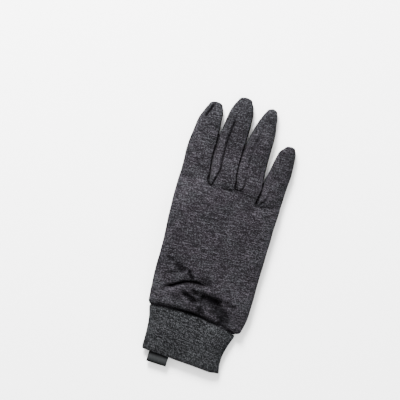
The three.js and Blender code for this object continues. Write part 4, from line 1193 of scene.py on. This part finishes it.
def heatherGroup():
    # mixed light and dark fibres, lying along the knit's courses
    tree = bpy.data.node_groups.new("heatherYarn", "ShaderNodeTree")
    face = tree.interface
    face.new_socket("Place", in_out="INPUT", socket_type="NodeSocketVector")
    for name, value in (("Streaks", 1.0), ("Speckle", 1.0), ("Stitch", 0.0), ("Fineness", 1.0), ("Cool", 0.0)):
        socket = face.new_socket(name, in_out="INPUT", socket_type="NodeSocketFloat")
        socket.default_value = value
    for name in ("Dark", "Middle", "Light", "Tint"):
        face.new_socket(name, in_out="INPUT", socket_type="NodeSocketColor")
    face.new_socket("Color", in_out="OUTPUT", socket_type="NodeSocketColor")
    face.new_socket("Fibres", in_out="OUTPUT", socket_type="NodeSocketFloat")
    put, out = node(tree, "NodeGroupInput"), node(tree, "NodeGroupOutput")
    sized = node(tree, "ShaderNodeVectorMath", operation="SCALE")
    tree.links.new(put.outputs["Place"], sized.inputs[0])
    tree.links.new(put.outputs["Fineness"], sized.inputs["Scale"])
    place = sized.outputs[0]
    grains = []
    for kind, detail in (("longStreaks", 3), ("shortStreaks", 3), ("patches", 2)):
        scale, weight = yarnGrains[kind]
        grain = stretchedNoise(tree, place, scale, detail)
        grains.append(maths(tree, "MULTIPLY", maths(tree, "SUBTRACT", grain, 0.5), weight))
    speckle = stretchedNoise(tree, place, yarnGrains["speckle"], 2, 0.6)
    streaks = maths(tree, "MULTIPLY", maths(tree, "ADD", grains[0], grains[1]), put.outputs["Streaks"])
    dots = maths(tree, "MULTIPLY", maths(tree, "SUBTRACT", speckle, 0.5), put.outputs["Speckle"])
    slow = grains[2]
    total = maths(tree, "ADD", maths(tree, "ADD", streaks, dots), maths(tree, "ADD", slow, 0.5))
    total = maths(tree, "ADD", total, put.outputs["Stitch"])
    # clamped, then twice as steep: dark to middle, and middle to light
    ramp = node(tree, "ShaderNodeMapRange")
    tree.links.new(total, ramp.inputs["Value"])
    steep = maths(tree, "MULTIPLY", ramp.outputs[0], 2.0)
    low = node(tree, "ShaderNodeMix", data_type="RGBA")
    high = node(tree, "ShaderNodeMix", data_type="RGBA")
    tree.links.new(steep, low.inputs["Factor"])
    tree.links.new(put.outputs["Dark"], low.inputs["A"])
    tree.links.new(put.outputs["Middle"], low.inputs["B"])
    tree.links.new(maths(tree, "SUBTRACT", steep, 1.0), high.inputs["Factor"])
    tree.links.new(low.outputs["Result"], high.inputs["A"])
    tree.links.new(put.outputs["Light"], high.inputs["B"])
    tinted = node(tree, "ShaderNodeMix", data_type="RGBA", blend_type="MULTIPLY")
    tintNoise = stretchedNoise(tree, place, yarnGrains["tint"], 2)
    tintRange = node(tree, "ShaderNodeMapRange")
    tintFrom, tintTo = yarnGrains["tintRange"]
    tintRange.inputs["From Min"].default_value = tintFrom
    tintRange.inputs["From Max"].default_value = tintTo
    tree.links.new(tintNoise, tintRange.inputs["Value"])
    cooler = maths(tree, "MAXIMUM", tintRange.outputs[0], put.outputs["Cool"])
    tree.links.new(cooler, tinted.inputs["Factor"])
    tree.links.new(high.outputs["Result"], tinted.inputs["A"])
    tree.links.new(put.outputs["Tint"], tinted.inputs["B"])
    tree.links.new(tinted.outputs["Result"], out.inputs["Color"])
    tree.links.new(total, out.inputs["Fibres"])
    return tree


def stitchGroup():
    # columns of small V-shaped stitches, and a tone for each, which runs on along the yarn
    tree = bpy.data.node_groups.new("knitStitches", "ShaderNodeTree")
    face = tree.interface
    face.new_socket("Place", in_out="INPUT", socket_type="NodeSocketVector")
    for name, value in (("Wales", 760.0), ("Courses", 900.0)):
        socket = face.new_socket(name, in_out="INPUT", socket_type="NodeSocketFloat")
        socket.default_value = value
    face.new_socket("Height", in_out="OUTPUT", socket_type="NodeSocketFloat")
    face.new_socket("Tone", in_out="OUTPUT", socket_type="NodeSocketFloat")
    put, out = node(tree, "NodeGroupInput"), node(tree, "NodeGroupOutput")
    split = node(tree, "ShaderNodeSeparateXYZ")
    tree.links.new(put.outputs["Place"], split.inputs[0])
    waleRun = maths(tree, "MULTIPLY", split.outputs[0], put.outputs["Wales"])
    wale = maths(tree, "FRACT", waleRun)
    middle = maths(tree, "ABSOLUTE", maths(tree, "SUBTRACT", wale, 0.5))
    column = maths(tree, "SINE", maths(tree, "MULTIPLY", middle, 2 * math.pi))
    course = maths(tree, "ADD", maths(tree, "MULTIPLY", split.outputs[1], put.outputs["Courses"]),
                   maths(tree, "MULTIPLY", middle, stitchTone["lean"]))
    row = maths(tree, "ABSOLUTE", maths(tree, "SINE", maths(tree, "MULTIPLY", course, math.pi)))
    rowHeight = maths(tree, "MULTIPLY_ADD", row, 1 - stitchTone["floor"], stitchTone["floor"])
    tree.links.new(maths(tree, "MULTIPLY", column, rowHeight), out.inputs["Height"])
    stitch = node(tree, "ShaderNodeCombineXYZ")
    tree.links.new(maths(tree, "FLOOR", waleRun), stitch.inputs[0])
    tree.links.new(maths(tree, "FLOOR", course), stitch.inputs[1])
    single = node(tree, "ShaderNodeTexWhiteNoise", noise_dimensions="2D")
    tree.links.new(stitch.outputs[0], single.inputs["Vector"])
    along = stretchedNoise(tree, stitch.outputs[0], stitchTone["alongScale"], 1)
    own = maths(tree, "MULTIPLY", maths(tree, "SUBTRACT", single.outputs[0], 0.5), stitchTone["own"])
    shared = maths(tree, "MULTIPLY", maths(tree, "SUBTRACT", along, 0.5), stitchTone["along"])
    tree.links.new(maths(tree, "ADD", own, shared), out.inputs["Tone"])
    return tree


heatherYarn = heatherGroup()
knitStitches = stitchGroup()

finishes = {
    "gloveKnit": {
        "dark": (0.0011, 0.0009, 0.0012), "middle": (0.0052, 0.0046, 0.0057), "light": (0.038, 0.0345, 0.041),
        "tint": (0.93, 1.02, 0.97), "streaks": 1.5, "speckle": 2.0, "mixed": 0.68, "fineness": 0.92,
        "wales": 1350.0, "courses": 1700.0, "paintedStitchShading": 0.9, "bump": 0.45, "stitch": 0.00028,
        "roughness": 0.94, "sheen": 0.01, "gloss": 0.06, "shade": 0.93,
    },
    "ribKnit": {
        "dark": (0.0009, 0.001, 0.0011), "middle": (0.0034, 0.0036, 0.0041), "light": (0.0345, 0.0348, 0.0378),
        "tint": (0.97, 1.0, 0.98), "streaks": 1.5, "speckle": 2.0, "mixed": 1.0, "fineness": 0.85,
        "wales": 1250.0, "courses": 1550.0, "paintedStitchShading": 0.8, "bump": 0.45, "stitch": 0.0003,
        "roughness": 0.94, "sheen": 0.01, "gloss": 0.06, "shade": 0.9,
    },
}


def knitMaterial(name):
    finish = finishes[name]
    made = bpy.data.materials.new(name)
    made.use_nodes = True
    tree = made.node_tree
    shader = tree.nodes["Principled BSDF"]
    place = node(tree, "ShaderNodeUVMap", (-1000, 0), uv_map="knit")
    yarn = node(tree, "ShaderNodeGroup", (-700, 200), node_tree=heatherYarn)
    tree.links.new(place.outputs[0], yarn.inputs["Place"])
    yarn.inputs["Streaks"].default_value = finish["streaks"]
    yarn.inputs["Speckle"].default_value = finish["speckle"]
    yarn.inputs["Fineness"].default_value = finish["fineness"]
    for socket, key in (("Dark", "dark"), ("Middle", "middle"), ("Light", "light"), ("Tint", "tint")):
        yarn.inputs[socket].default_value = (*finish[key], 1)
    cool = node(tree, "ShaderNodeAttribute", attribute_name="cool")
    tree.links.new(cool.outputs["Fac"], yarn.inputs["Cool"])
    # shade painted into the cloth's colour in its folds, along its seams and at the broad shaded places; it also
    # damps sheen and gloss there
    inside = node(tree, "ShaderNodeAttribute", attribute_name="crease")
    keep = maths(tree, "SUBTRACT", 1.0, maths(tree, "MULTIPLY", inside.outputs["Fac"], finish["shade"]))
    stitches = node(tree, "ShaderNodeGroup", (-700, -200), node_tree=knitStitches)
    tree.links.new(place.outputs[0], stitches.inputs["Place"])
    stitches.inputs["Wales"].default_value = finish["wales"]
    stitches.inputs["Courses"].default_value = finish["courses"]
    tree.links.new(maths(tree, "MULTIPLY", stitches.outputs["Tone"], finish["mixed"]), yarn.inputs["Stitch"])
    # each stitch's top is painted lighter and the hollows between stitches darker
    stitchShadingScale = maths(tree, "ADD", maths(tree, "MULTIPLY", stitches.outputs["Height"], finish["paintedStitchShading"]),
                   1 - finish["paintedStitchShading"] * 0.4)
    shaded = node(tree, "ShaderNodeVectorMath", operation="SCALE")
    tree.links.new(yarn.outputs["Color"], shaded.inputs[0])
    tree.links.new(maths(tree, "MULTIPLY", keep, stitchShadingScale), shaded.inputs["Scale"])
    tree.links.new(shaded.outputs[0], shader.inputs["Base Color"])
    fibres = maths(tree, "MULTIPLY", yarn.outputs["Fibres"], 0.5)
    height = maths(tree, "ADD", stitches.outputs["Height"], fibres)
    bump = node(tree, "ShaderNodeBump", (-300, -200))
    bump.inputs["Strength"].default_value = finish["bump"]
    bump.inputs["Distance"].default_value = finish["stitch"]
    tree.links.new(height, bump.inputs["Height"])
    tree.links.new(bump.outputs[0], shader.inputs["Normal"])
    shader.inputs["Roughness"].default_value = finish["roughness"]
    tree.links.new(maths(tree, "MULTIPLY", keep, finish["sheen"]), shader.inputs["Sheen Weight"])
    shader.inputs["Sheen Roughness"].default_value = 0.45
    tree.links.new(maths(tree, "MULTIPLY", keep, finish["gloss"]), shader.inputs["Specular IOR Level"])
    return made


webFinish = {
    "dark": (0.004, 0.0043, 0.0046), "light": (0.019, 0.02, 0.021), "ribs": 1400.0, "threads": 2600.0,
    "bump": 0.3, "thread": 0.0002, "gloss": 0.1, "roughness": 0.5,
}


def webMaterial():
    made = bpy.data.materials.new("webbing")
    made.use_nodes = True
    tree = made.node_tree
    shader = tree.nodes["Principled BSDF"]
    place = node(tree, "ShaderNodeUVMap", uv_map="knit")
    split = node(tree, "ShaderNodeSeparateXYZ")
    tree.links.new(place.outputs[0], split.inputs[0])
    warp = maths(tree, "SINE", maths(tree, "MULTIPLY", split.outputs[0], webFinish["ribs"] * 2 * math.pi))
    weft = maths(tree, "SINE", maths(tree, "MULTIPLY", split.outputs[1], webFinish["threads"]))
    weave = maths(tree, "MULTIPLY", warp, weft)
    share = maths(tree, "ADD", maths(tree, "MULTIPLY", weave, 0.25), 0.55)
    grain = stretchedNoise(tree, place.outputs[0], (1500, 300, 1), 2)
    share = maths(tree, "ADD", share, maths(tree, "SUBTRACT", grain, 0.5))
    colour = node(tree, "ShaderNodeMix", data_type="RGBA")
    tree.links.new(share, colour.inputs["Factor"])
    colour.inputs["A"].default_value = (*webFinish["dark"], 1)
    colour.inputs["B"].default_value = (*webFinish["light"], 1)
    # the loop's painted shadow and fold shade darken its colour and gloss
    inside = node(tree, "ShaderNodeAttribute", attribute_name="crease")
    shaded = node(tree, "ShaderNodeVectorMath", operation="SCALE")
    tree.links.new(colour.outputs["Result"], shaded.inputs[0])
    keep = maths(tree, "SUBTRACT", 1.0, inside.outputs["Fac"])
    tree.links.new(keep, shaded.inputs["Scale"])
    tree.links.new(shaded.outputs[0], shader.inputs["Base Color"])
    tree.links.new(maths(tree, "MULTIPLY", keep, webFinish["gloss"]), shader.inputs["Specular IOR Level"])
    bump = node(tree, "ShaderNodeBump")
    bump.inputs["Strength"].default_value = webFinish["bump"]
    bump.inputs["Distance"].default_value = webFinish["thread"]
    tree.links.new(weave, bump.inputs["Height"])
    tree.links.new(bump.outputs[0], shader.inputs["Normal"])
    shader.inputs["Roughness"].default_value = webFinish["roughness"]
    return made


gloveKnit = knitMaterial("gloveKnit")
ribKnit = knitMaterial("ribKnit")
webbing = webMaterial()

glove = makeGlove()
glove.data.materials.append(gloveKnit)
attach(glove, "root")
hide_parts("hand_panel", "fourchette_index_middle", "fourchette_middle_ring", "fourchette_ring_little",
            "thumb")
print("hand knitted:", len(glove.data.polygons), "faces")

rib = makeCuff()
rib.data.materials.append(ribKnit)
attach(rib, "root")
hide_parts("cuff")
print("cuff knitted:", len(rib.data.polygons), "faces")

pull = makeLoop()
pull.data.materials.append(webbing)
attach(pull, "root")
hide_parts("pull_loop")
print("loop sewn:", len(pull.data.polygons), "faces")
